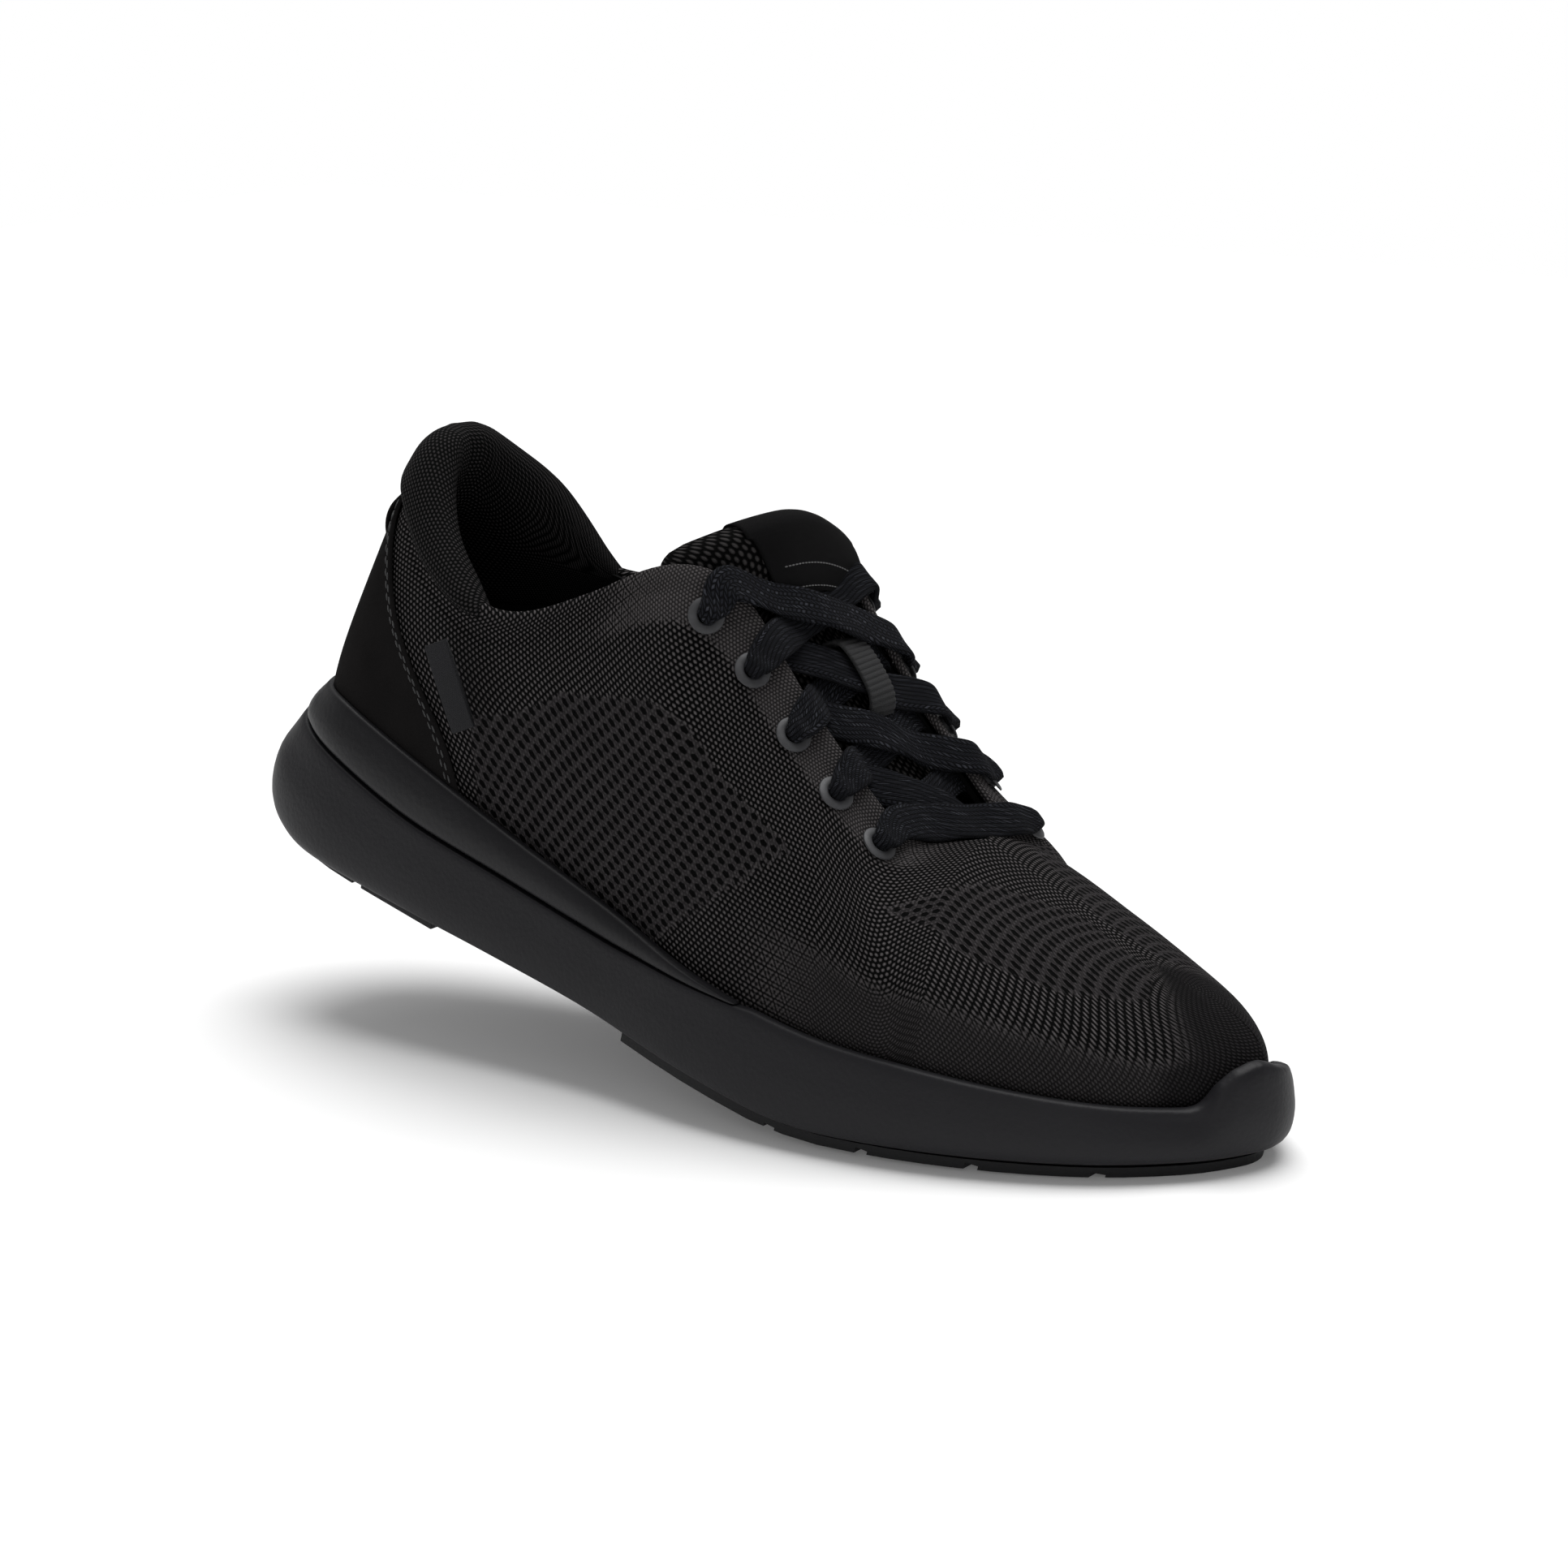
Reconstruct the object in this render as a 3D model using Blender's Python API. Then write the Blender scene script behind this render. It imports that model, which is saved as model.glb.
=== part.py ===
"""Running shoe for the right foot, built as separate pieces.

Lengths are millimetres until a mesh is made, then metres. X runs from heel (0) to toe (LENGTH),
Y is positive towards the inner (medial) side, Z is up from the ground. The row's origin is the
bottom centre of the shoe. Places round the shoe are counted in stations: 0 at the back of the heel,
14 at the toe tip, once along the outer side and once along the inner side.
"""
import math

import bmesh
import bpy
import numpy as np
from mathutils import Matrix, Vector

# driving dimensions, mm
LENGTH = 306.0
GAP = 0.3
UPPER_THICK = 1.2
INTERLAYER_DEPTH = 1.5
INTERLAYER_THICK = 1.2
LINING_DEPTH = 3.0
LINING_THICK = 1.4
STACK = LINING_DEPTH + LINING_THICK
RIM_WALL = 3.5
OUTSOLE_THICK = 2.7
MIDSOLE_LIFT = 3.2
BOARD_THICK = 1.5
INSOLE_THICK = 5.0
LACE_WIDTH = 5.6
LACE_THICK = 1.8
EYELET_OUTER = 9.6
EYELET_BARREL = 6.4
EYELET_BORE = 5.2
EYELET_HOLE = 7.4
EYELET_SETBACK = 10.5
FLANGE_LIFT = 0.55
FLANGE_THICK = 0.9
UNDER_DEPTH = 6.6
OVER_LIFT = 3.0
COLLAR_FRONT = 74.0
COLLAR_SWELL = 0.139
TOE_STATION = 14
THROAT_STATION = 9.0
BAND_END = 5.7
FULL_CIRCLE = 2.0 * math.pi

# outline of the sole at its widest, seen from above, station by station
OUTER_EDGE = [(0, 0), (3, -15), (14, -27.5), (34, -35.5), (64, -39), (98, -41), (132, -44), (166, -51),
              (200, -53.9), (230, -52), (256, -45), (278, -34), (295, -19), (303.5, -5.5), (306, 4.5)]
INNER_EDGE = [(0, 0), (3, 15), (14, 27.5), (34, 34.5), (64, 37), (98, 36.5), (132, 38.5), (166, 45),
              (200, 51.5), (228, 53.9), (252, 50.5), (275, 41), (292.5, 27.5), (303, 14.5), (306, 4.5)]

# station, then the value there
RIM_HEIGHT = [(0, 45), (2, 45.5), (3, 46.5), (4, 40.5), (5, 33), (6, 26.3), (7, 24.3), (8, 26.7), (9, 31.2),
              (10, 34.2), (11, 36.7), (12, 39), (14, 42.5)]
OUTER_BUMPER = [(0, 0), (12.1, 0), (12.5, 4.9), (12.9, 9.8), (14, 6.4)]
INNER_BUMPER = [(0, 0), (12.0, 0), (12.8, 2.6), (14, 6.4)]
RIM_INSET = [(0, 12.8), (1, 12), (2, 8.6), (3, 4.4), (5, 2), (8, 2.2), (11, 3.5), (12.5, 6.5), (14, 8)]
PARTING_HEIGHT = [(0, 34), (3, 33.6), (4, 31.6), (5, 29.6), (6, 26.2), (7, 24)]
BED_HEIGHT = [(0, 30), (3, 29.5), (4, 27.5), (5, 22.5), (6, 18.5), (7, 17), (8, 18), (9, 21.5), (10, 25.5),
              (11, 29), (12, 32), (14, 35)]

# top edge of the upper: collar, ear, edge of the eyestay, end of the throat
OUTER_TOP = [(0, 25, 0, 106), (1, 27.5, -10, 106), (2, 34, -18, 103), (3, 48.5, -25.3, 93.5),
             (4, 69, -31.3, 88.2), (4.6, 84, -33.2, 91.5), (5.3, 102, -32.6, 103.5), (6, 118, -28.3, 116.3),
             (6.45, 130.5, -23.5, 119.4), (6.8, 140, -17.6, 113.6), (7.5, 161, -15.4, 95.3),
             (8.3, 185.5, -13, 77), (8.7, 196.5, -8, 69.5), (9, 204.5, 12, 69)]
INNER_TOP = [(0, 25, 0, 106), (1, 27.5, 10, 106), (2, 34, 18, 103), (3, 48.5, 25, 93.5), (4, 69, 30.3, 88.2),
             (4.6, 84, 32.2, 91.2), (5.3, 103, 32.8, 102.5), (6, 122, 31.2, 115), (6.45, 136, 29, 118),
             (6.8, 147.5, 27, 110), (7.5, 167, 27, 93.3), (8.3, 191, 27, 76.5), (8.7, 203.5, 24.5, 68.8),
             (9, 204.5, 12, 69)]
RIDGE = [(9, 204.5, 12, 69), (10, 230, 11, 63.8), (11, 250, 9, 60), (12, 261, 7.5, 58.7), (13, 267, 6.5, 58.2),
         (14, 269, 6, 58)]

# how the wall leaves the sole and reaches its top edge: station, angle below level and reach at the
# top edge, angle above level and reach at the sole
OUTER_BEND = [(0, 77, 20, 89, 20), (4, 84, 15, 92, 16), (5, 82, 20, 93, 20), (6, 62, 28, 94, 30),
              (6.8, 24, 22, 93, 38), (8, 15, 22, 93, 30), (9, 3, 38, 92, 22), (10, 1, 32, 92, 19),
              (11, 0, 25, 92, 15), (12, 2, 17, 90, 11), (13, 5, 15, 89, 10), (14, 6, 14, 89, 10)]
INNER_BEND = [(0, 77, 20, 89, 20), (4, 84, 15, 92, 16), (5, 82, 20, 92, 22), (6, 66, 22, 93, 36),
              (6.8, 30, 11, 92, 44), (8, 22, 13, 92, 34), (9, 4, 25, 90, 24), (10, 3, 25, 88, 17),
              (11, 3, 20, 87, 12), (12, 3, 17, 88, 10), (13, 5, 15, 89, 10), (14, 6, 14, 89, 10)]

STATIONS = np.concatenate([np.linspace(0, 6, 11)[:-1], np.linspace(6, 9, 11)[:-1], np.linspace(9, 14, 11)])
ROWS = 8
SOLE_STEP = 1 / 3
EYELET_STATIONS = {-1: (6.62, 8.52), 1: (6.65, 8.66)}


def clearScene():
    for item in list(bpy.data.objects):
        bpy.data.objects.remove(item, do_unlink=True)


def keyed(keys, u):
    """Smooth curve through keys of (place, value...), read at u."""
    places = [key[0] for key in keys]
    values = np.array([key[1:] for key in keys], float)
    u = min(max(u, places[0]), places[-1])
    k = 0
    while k < len(places) - 2 and u > places[k + 1]:
        k += 1

    def slope(j):
        low = max(j - 1, 0)
        high = min(j + 1, len(places) - 1)
        return (values[high] - values[low]) / (places[high] - places[low])

    span = places[k + 1] - places[k]
    f = (u - places[k]) / span
    value = ((2 * f**3 - 3 * f**2 + 1) * values[k] + (f**3 - 2 * f**2 + f) * span * slope(k)
             + (3 * f**2 - 2 * f**3) * values[k + 1] + (f**3 - f**2) * span * slope(k + 1))
    return value if len(value) > 1 else float(value[0])


def smoothStep(low, high, u):
    f = min(max((u - low) / (high - low), 0.0), 1.0)
    return f * f * (3 - 2 * f)


def unit(v):
    v = np.asarray(v, float)
    return v / (np.linalg.norm(v) + 1e-12)


EDGE_LOOP = np.array(OUTER_EDGE + INNER_EDGE[-2:0:-1], float)


def edgePoint(side, station):
    """Point of the closed outline on one side, -1 outer or 1 inner."""
    count = len(EDGE_LOOP)
    u = (station if side < 0 else count - station) % count
    k = int(u)
    f = u - k
    a, b, c, d = (EDGE_LOOP[(k + j) % count] for j in (-1, 0, 1, 2))
    return 0.5 * (2 * b + (c - a) * f + (2 * a - 5 * b + 4 * c - d) * f**2 + (3 * b - a - 3 * c + d) * f**3)


def outward(side, station):
    step = 0.02
    along = (edgePoint(side, station + step) - edgePoint(side, station - step)) * -side
    return unit((along[1], -along[0]))


def inset(side, station, distance):
    return edgePoint(side, station) - outward(side, station) * distance


def groundHeight(x):
    """Underside of the outsole: level, rounded up at the heel and rocking up to the toe."""
    heel = 9.0 * max(0.0, (32.0 - x) / 32.0) ** 2
    rocker = max(0.0, x - 185.0)
    slope = 0.235
    blend = 30.0
    toe = slope * (rocker**2 / (2 * blend) if rocker < blend else rocker - blend / 2)
    return heel + toe


def rimHeight(side, station):
    bumper = OUTER_BUMPER if side < 0 else INNER_BUMPER
    places = [key[0] for key in bumper]
    return keyed(RIM_HEIGHT, station) + float(np.interp(station, places, [key[1] for key in bumper]))


def rimInset(station):
    return keyed(RIM_INSET, station)


def footInset(station):
    """Distance from the outline to where the upper stands inside the rim."""
    return rimInset(station) + RIM_WALL + 0.4


def topPoint(side, station):
    if station >= THROAT_STATION:
        return keyed(RIDGE, station)
    return keyed(OUTER_TOP if side < 0 else INNER_TOP, station)


def wallProfile(side, station):
    """The four control points of the upper's wall at one station."""
    fall, reachTop, rise, reachFoot = keyed(OUTER_BEND if side < 0 else INNER_BEND, station)
    away = outward(side, station)
    foot = np.array([*inset(side, station, footInset(station)), keyed(RIM_HEIGHT, station)])
    top = topPoint(side, station)
    fall = math.radians(fall)
    rise = math.radians(rise)
    liftFoot = np.array([*(away * -math.cos(rise)), math.sin(rise)]) * reachFoot
    dropTop = np.array([*(away * math.cos(fall)), -math.sin(fall)]) * reachTop
    return foot, foot + liftFoot, top + dropTop, top


def wallPoint(side, station, v):
    a, b, c, d = wallProfile(side, station)
    return (1 - v)**3 * a + 3 * (1 - v)**2 * v * b + 3 * (1 - v) * v**2 * c + v**3 * d


def wallColumn(side, station):
    """One column of the upper from the foot bed to the top edge."""
    foot = wallPoint(side, station, 0)
    bottom = foot.copy()
    bottom[2] = keyed(BED_HEIGHT, station) + GAP + 0.1
    return [bottom] + [wallPoint(side, station, v) for v in np.linspace(0, 1, ROWS)]


def upperColumns():
    outer = [(-1, s) for s in STATIONS]
    inner = [(1, s) for s in STATIONS[-2:0:-1]]
    return outer + inner


COLUMNS = upperColumns()


def upperGrid():
    """All points of the upper's outer face and the direction that points away from it at each."""
    points = np.array([wallColumn(*column) for column in COLUMNS])
    normals = np.zeros_like(points)
    count, rows = points.shape[:2]
    shared = {}
    for c in range(count):
        for r in range(rows):
            shared.setdefault(tuple(np.round(points[c, r], 3)), []).append((c, r))
    for c in range(count):
        n = (c + 1) % count
        for r in range(rows - 1):
            across = points[n, r + 1] - points[c, r]
            back = points[c, r + 1] - points[n, r]
            face = np.cross(across, back)
            for corner in ((c, r), (n, r), (c, r + 1), (n, r + 1)):
                normals[corner] += face
    for corners in shared.values():
        total = sum(normals[corner] for corner in corners)
        for corner in corners:
            normals[corner] = unit(total)
    return points, normals


POINTS, NORMALS = upperGrid()


def toRow(p):
    return Vector(((p[0] - LENGTH / 2) / 1000, p[1] / 1000, p[2] / 1000))


def material(name, colour, roughness, metallic=0.0):
    mat = bpy.data.materials.new(name)
    mat.use_nodes = True
    shader = mat.node_tree.nodes["Principled BSDF"]
    shader.inputs["Base Color"].default_value = (*colour, 1)
    shader.inputs["Roughness"].default_value = roughness
    shader.inputs["Metallic"].default_value = metallic
    mat.diffuse_color = (*colour, 1)
    return mat


def finish(bm, name, colour, roughness):
    """Turn a bmesh in millimetres of the shoe's own frame into a named object."""
    bmesh.ops.remove_doubles(bm, verts=bm.verts, dist=0.005)
    bmesh.ops.dissolve_degenerate(bm, edges=bm.edges, dist=0.002)
    bmesh.ops.triangulate(bm, faces=bm.faces)
    bmesh.ops.recalc_face_normals(bm, faces=bm.faces)
    if bm.calc_volume(signed=True) < 0:
        bmesh.ops.reverse_faces(bm, faces=bm.faces)
    for v in bm.verts:
        v.co = toRow(v.co)
    mesh = bpy.data.meshes.new(name)
    bm.to_mesh(mesh)
    bm.free()
    mesh.shade_smooth()
    mesh.set_sharp_from_angle(angle=math.radians(40))
    obj = bpy.data.objects.new(name, mesh)
    bpy.context.collection.objects.link(obj)
    mesh.materials.append(material(name, colour, roughness))
    return obj


def cylinderAlong(bm, centre, axis, radius, low, high, segments=20):
    """A closed cylinder whose ends stand at low and high along axis from centre."""
    turn = Vector(axis).to_track_quat("Z", "Y").to_matrix().to_4x4()
    middle = Vector(centre) + Vector(axis) * (low + high) / 2
    return bmesh.ops.create_cone(bm, cap_ends=True, segments=segments, radius1=radius, radius2=radius,
                                 depth=high - low, matrix=Matrix.Translation(middle) @ turn)


def cutter(bm, name):
    obj = finish(bm, name, (1, 0, 0), 0.5)
    obj.hide_render = True
    obj.display_type = "WIRE"
    return obj


def cut(obj, tool):
    mod = obj.modifiers.new("cut_" + tool.name, "BOOLEAN")
    mod.operation = "DIFFERENCE"
    mod.solver = "EXACT"
    mod.object = tool


def bridgeStations(bm, loops, close):
    """Faces between neighbouring station loops, each a closed ring of vertices."""
    rings = [[bm.verts.new(p) for p in loop] for loop in loops]
    for a, b in zip(rings, rings[1:] + (rings[:1] if close else [])):
        for k in range(len(a)):
            n = (k + 1) % len(a)
            bm.faces.new((a[k], a[n], b[n], b[k]))
    return rings


# ---------- soles


def bodyLoft(sideProfile, stations, capEnds=False):
    """A body whose section at each station runs outer side, across, inner side, and back."""
    bm = bmesh.new()
    loops = []
    for s in stations:
        outer = sideProfile(-1, s)
        inner = sideProfile(1, s)
        loops.append([Vector(p) for p in outer + inner[::-1]])
    rings = bridgeStations(bm, loops, False)
    if capEnds:
        bm.faces.new(rings[0][::-1])
        bm.faces.new(rings[-1])
    return bm


def at(side, station, distance, height):
    p = inset(side, station, distance)
    return (p[0], p[1], height)


def midsoleProfile(side, station):
    x = edgePoint(side, station)[0]
    low = groundHeight(x) + MIDSOLE_LIFT
    rim = rimHeight(side, station)
    lean = rimInset(station)
    bed = keyed(BED_HEIGHT, station)
    hasBand = station < BAND_END
    top = keyed(PARTING_HEIGHT, station) if hasBand else rim
    share = (top - low) / (rim - low)
    outer = lean * share**1.5
    crown = 0.0 if hasBand else 1.2
    wide = low + 0.28 * (top - low)
    return [at(side, station, 16, low), at(side, station, 5, low), at(side, station, 1.6, low + 1.8),
            at(side, station, 0, wide), at(side, station, outer * 0.35, (wide + top) / 2),
            at(side, station, outer, top - crown), at(side, station, outer + 1.2, top),
            at(side, station, lean + RIM_WALL, top), at(side, station, lean + RIM_WALL, bed)]


def soleStations(low, high):
    return [k * SOLE_STEP for k in range(round(low / SOLE_STEP), round(high / SOLE_STEP) + 1)]


def buildMidsole():
    extra = [BAND_END - 0.01, BAND_END + 0.01, 12.1, 12.9]
    stations = sorted(set(np.round(np.concatenate([soleStations(0, TOE_STATION), extra]), 3)))
    bm = bodyLoft(midsoleProfile, stations)
    return finish(bm, "midsole", (0.030, 0.031, 0.034), 0.55)


def buildHeelBand():
    """The heel cradle: the upper band of the sole wall, open towards the toe."""
    def section(side, station):
        parting = keyed(PARTING_HEIGHT, station) + GAP
        rim = rimHeight(side, station)
        lean = rimInset(station)
        low = groundHeight(edgePoint(side, station)[0]) + MIDSOLE_LIFT
        start = lean * ((parting - low) / (rim - low))**1.5 + 0.4
        bulge = (start + lean) / 2 - 0.5
        return [Vector(at(side, station, start, parting)), Vector(at(side, station, bulge, (parting + rim) / 2)),
                Vector(at(side, station, lean, rim - 1.0)), Vector(at(side, station, lean + 1.4, rim)),
                Vector(at(side, station, lean + RIM_WALL, rim - 0.6)), Vector(at(side, station, lean + RIM_WALL, parting))]

    reach = np.linspace(0, BAND_END - 0.25, 17)
    stops = [(-1, s) for s in reach[::-1]] + [(1, s) for s in reach[1:]]
    bm = bmesh.new()
    rings = bridgeStations(bm, [section(*stop) for stop in stops], False)
    bm.faces.new(rings[0][::-1])
    bm.faces.new(rings[-1])
    return finish(bm, "midsole_heel_cradle", (0.040, 0.041, 0.044), 0.5)


def slab(name, edge, stations, thickness, floor, colour, roughness):
    """A flat piece between the two sides, edge(station) in from the outline, resting on floor(x, station)."""
    def section(side, station):
        p = inset(side, station, edge(station))
        z = floor(p[0], station)
        return [(p[0], p[1], z), (p[0], p[1], z + thickness)]

    bm = bmesh.new()
    loops = []
    for s in stations:
        outer = section(-1, s)
        inner = section(1, s)
        loops.append([Vector(outer[0]), Vector(outer[1]), Vector(inner[1]), Vector(inner[0])])
    rings = bridgeStations(bm, loops, False)
    for ring in (rings[0], rings[-1]):
        if (ring[0].co - ring[3].co).length > 0.01:
            bm.faces.new(ring)
    return finish(bm, name, colour, roughness)


def buildOutsole():
    def ground(x, station):
        return groundHeight(x)

    def edge(station):
        return 8.0 - 3.0 * smoothStep(3, 6, station)

    heel = slab("outsole_heel", edge, soleStations(0, 13 / 3), OUTSOLE_THICK, ground, (0.012, 0.012, 0.013), 0.7)
    front = slab("outsole_forefoot", edge, soleStations(19 / 3, TOE_STATION), OUTSOLE_THICK, ground,
                 (0.012, 0.012, 0.013), 0.7)
    grooves = bmesh.new()
    for x, base in ((47, 0.0), (196, 0.0), (222, 5.0), (249, 11.5), (276, 17.5)):
        bmesh.ops.create_cube(grooves, size=1, matrix=Matrix.Translation((x, 0, base - 0.6))
                              @ Matrix.Diagonal((3.2, 130, 4.0, 1)))
    tool = cutter(grooves, "groove_cutter")
    cut(heel, tool)
    cut(front, tool)
    return heel, front


def bedFloor(lift):
    def floor(x, station):
        return keyed(BED_HEIGHT, station) + lift
    return floor


def buildInnerSoles():
    def boardEdge(station):
        return footInset(station) + STACK + 1.5

    def insoleEdge(station):
        return footInset(station) + STACK + 2.0

    board = slab("strobel_board", boardEdge, soleStations(2, 40 / 3), BOARD_THICK, bedFloor(GAP),
                 (0.10, 0.10, 0.10), 0.9)
    insole = slab("insole", insoleEdge, soleStations(2, 40 / 3), INSOLE_THICK, bedFloor(BOARD_THICK + 2 * GAP),
                  (0.015, 0.015, 0.016), 0.9)
    return board, insole


# ---------- upper and its layers


def layer(name, depth, thick, columns, rows, colour, roughness, skip=None):
    """A shell parallel to the upper's face, from depth to depth + thick below it."""
    bm = bmesh.new()
    grid = {}
    for c in columns:
        for r in rows:
            grid[c, r] = bm.verts.new(POINTS[c, r] - NORMALS[c, r] * depth)
    push = {grid[key]: NORMALS[key] * thick for key in grid}
    count = len(COLUMNS)
    for c in columns:
        n = (c + 1) % count
        for r, q in zip(rows, rows[1:]):
            corners = [grid.get((c, r)), grid.get((n, r)), grid.get((n, q)), grid.get((c, q))]
            if None in corners or (skip and skip(c, r)):
                continue
            bm.faces.new(corners)
    shift = {}
    for v, move in push.items():
        shift[tuple(np.round(v.co, 3))] = Vector(move)
    bmesh.ops.delete(bm, geom=[v for v in bm.verts if not v.link_faces], context="VERTS")
    bmesh.ops.remove_doubles(bm, verts=bm.verts, dist=0.01)
    inner = bmesh.ops.extrude_face_region(bm, geom=bm.faces[:] + bm.edges[:] + bm.verts[:])["geom"]
    for v in inner:
        if isinstance(v, bmesh.types.BMVert):
            key = tuple(np.round(v.co, 3))
            if key not in shift:
                key = min(shift, key=lambda k: (Vector(k) - v.co).length)
            v.co = v.co - shift[key]
    return finish(bm, name, colour, roughness)


def columnRange(low, high, sides=(-1, 1)):
    return [k for k, (side, s) in enumerate(COLUMNS) if side in sides and low - 1e-6 <= s <= high + 1e-6]


def wrapAtHeel(columns):
    """Put a range that crosses the back of the heel in running order."""
    half = len(COLUMNS) // 2
    return [c for c in columns if c > half] + [c for c in columns if c <= half]


def eyeletFrame(side, number):
    """Centre on the upper's face, outward direction and direction along the row for one eyelet."""
    first, last = EYELET_STATIONS[side]
    station = first + (last - first) * (number - 1) / 4
    rise = np.linspace(1, 0.4, 121)
    path = np.array([wallPoint(side, station, v) for v in rise])
    run = np.concatenate([[0], np.cumsum(np.linalg.norm(np.diff(path, axis=0), axis=1))])
    v = float(np.interp(EYELET_SETBACK, run, rise))
    step = 0.01
    up = wallPoint(side, station, v + step) - wallPoint(side, station, v - step)
    along = wallPoint(side, station + step, v) - wallPoint(side, station - step, v)
    normal = unit(np.cross(along, up)) * -side
    if normal[2] < 0:
        normal = -normal
    edge = topPoint(side, station)
    return wallPoint(side, station, v), normal, unit(along), edge


def buildUpper():
    whole = list(range(len(COLUMNS)))
    rows = list(range(ROWS + 1))
    charcoal = (0.022, 0.021, 0.021)
    upper = layer("upper_knit", 0, UPPER_THICK, whole, rows, charcoal, 0.95)
    lining = layer("lining", LINING_DEPTH, LINING_THICK, whole, rows, (0.010, 0.010, 0.011), 0.95)
    counter = layer("heel_counter", INTERLAYER_DEPTH, INTERLAYER_THICK, wrapAtHeel(columnRange(0, 3.0)),
                    rows[:6], (0.06, 0.06, 0.06), 0.6)
    puff = layer("toe_puff", INTERLAYER_DEPTH, INTERLAYER_THICK, columnRange(12.0, 14), rows[1:],
                 (0.06, 0.06, 0.06), 0.6)
    stays = [layer("eyestay_backing_" + word, INTERLAYER_DEPTH, INTERLAYER_THICK,
                   columnRange(6.2, 8.75, (side,)), rows[4:], (0.03, 0.03, 0.03), 0.8)
             for side, word in ((-1, "lateral"), (1, "medial"))]
    holes = bmesh.new()
    for side in (-1, 1):
        for number in range(1, 6):
            centre, normal, _, _ = eyeletFrame(side, number)
            cylinderAlong(holes, centre, normal, EYELET_HOLE / 2, -8, 4, 12)
    tool = cutter(holes, "eyelet_hole_cutter")
    for piece in (upper, lining, *stays):
        cut(piece, tool)
    return upper, lining, counter, puff, stays


def buildEyelets():
    """A flat ring with a short barrel, one object for each of the ten holes."""
    for side, word in ((-1, "lateral"), (1, "medial")):
        for number in range(1, 6):
            centre, normal, _, _ = eyeletFrame(side, number)
            top = FLANGE_LIFT + FLANGE_THICK
            section = [(EYELET_BORE / 2, -STACK + 0.2), (EYELET_BARREL / 2, -STACK + 0.2),
                       (EYELET_BARREL / 2, FLANGE_LIFT), (EYELET_OUTER / 2, FLANGE_LIFT),
                       (EYELET_OUTER / 2 - 0.3, top), (EYELET_BORE / 2, top)]
            bm = bmesh.new()
            ring = [bm.verts.new((r, 0, z)) for r, z in section]
            edges = [bm.edges.new((ring[k], ring[(k + 1) % len(ring)])) for k in range(len(ring))]
            bmesh.ops.spin(bm, geom=ring + edges, cent=(0, 0, 0), axis=(0, 0, 1), angle=FULL_CIRCLE, steps=14,
                           use_merge=True)
            turn = Vector(normal).to_track_quat("Z", "Y").to_matrix().to_4x4()
            bm.transform(Matrix.Translation(centre) @ turn)
            finish(bm, f"eyelet_{word}_{number}", (0.045, 0.047, 0.050), 0.45)


# ---------- heel: panel, tab, label, collar


def faceDirection(side, station, v):
    """Direction out of the foot at one place on the wall."""
    step = 0.02
    along = wallPoint(side, station + step, v) - wallPoint(side, station - step, v)
    up = wallPoint(side, station, min(v + step, 1)) - wallPoint(side, station, max(v - step, 0))
    normal = unit(np.cross(along, up)) * side * -1
    away = np.append(outward(side, station), 0.3)
    return normal if normal @ away > 0 else -normal


def buildHeelPanel():
    """Suede panel that wraps the back of the heel outside the knit, wider towards the sole."""
    front = [(0.0, 4.45), (0.3, 4.0), (0.6, 2.9), (0.93, 1.0)]
    lift = GAP + 0.3
    thick = 0.9
    shares = np.linspace(-1, 1, 21)
    rows = np.linspace(0.02, 0.93, 7)
    bm = bmesh.new()
    faces = []
    for depth in (lift, lift + thick):
        grid = []
        for v in rows:
            limit = keyed(front, v)
            line = []
            for share in shares:
                side = -1 if share < 0 else 1
                station = max(abs(share) * limit, 0.03)
                spot = wallPoint(side, station, v)
                away = faceDirection(side, station, v)
                if abs(share) < 1e-6:
                    away = unit((away[0], 0, away[2]))
                    spot[1] = 0
                line.append(bm.verts.new(spot + away * depth))
            grid.append(line)
        for a, b in zip(grid, grid[1:]):
            for k in range(len(a) - 1):
                bm.faces.new((a[k], a[k + 1], b[k + 1], b[k]))
        faces.append(grid)
    inner, outer = faces
    rim = [(r, 0) for r in range(len(rows))] + [(len(rows) - 1, k) for k in range(1, len(shares))]
    rim += [(r, len(shares) - 1) for r in range(len(rows) - 2, -1, -1)] + [(0, k) for k in range(len(shares) - 2, 0, -1)]
    for (r, k), (q, n) in zip(rim, rim[1:] + rim[:1]):
        bm.faces.new((inner[r][k], inner[q][n], outer[q][n], outer[r][k]))
    return finish(bm, "heel_panel", (0.012, 0.012, 0.012), 1.0)


def ribbon(name, path, across, width, thick, colour, roughness):
    """A flat strip along path, thick away from it, as wide as width along the across direction."""
    bm = bmesh.new()
    loops = []
    for k, p in enumerate(path):
        p = np.asarray(p, float)
        ahead = np.asarray(path[min(k + 1, len(path) - 1)], float)
        behind = np.asarray(path[max(k - 1, 0)], float)
        side = unit(across)
        up = unit(np.cross(unit(ahead - behind), side))
        corners = [(-1, 0), (1, 0), (1, 1), (-1, 1)]
        loops.append([Vector(p + side * width / 2 * a + up * thick * b) for a, b in corners])
    rings = bridgeStations(bm, loops, False)
    bm.faces.new(rings[0][::-1])
    bm.faces.new(rings[-1])
    return finish(bm, name, colour, roughness)


def buildHeelTab():
    """Short pull tab standing off the back of the heel."""
    path = [(16.6, 0, 87.0), (16.2, 0, 91.5), (17.4, 0, 96.0), (20.0, 0, 100.5)]
    return ribbon("heel_pull_tab", path, (0, -1, 0), 15, 1.3, (0.012, 0.012, 0.012), 0.9)


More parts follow.
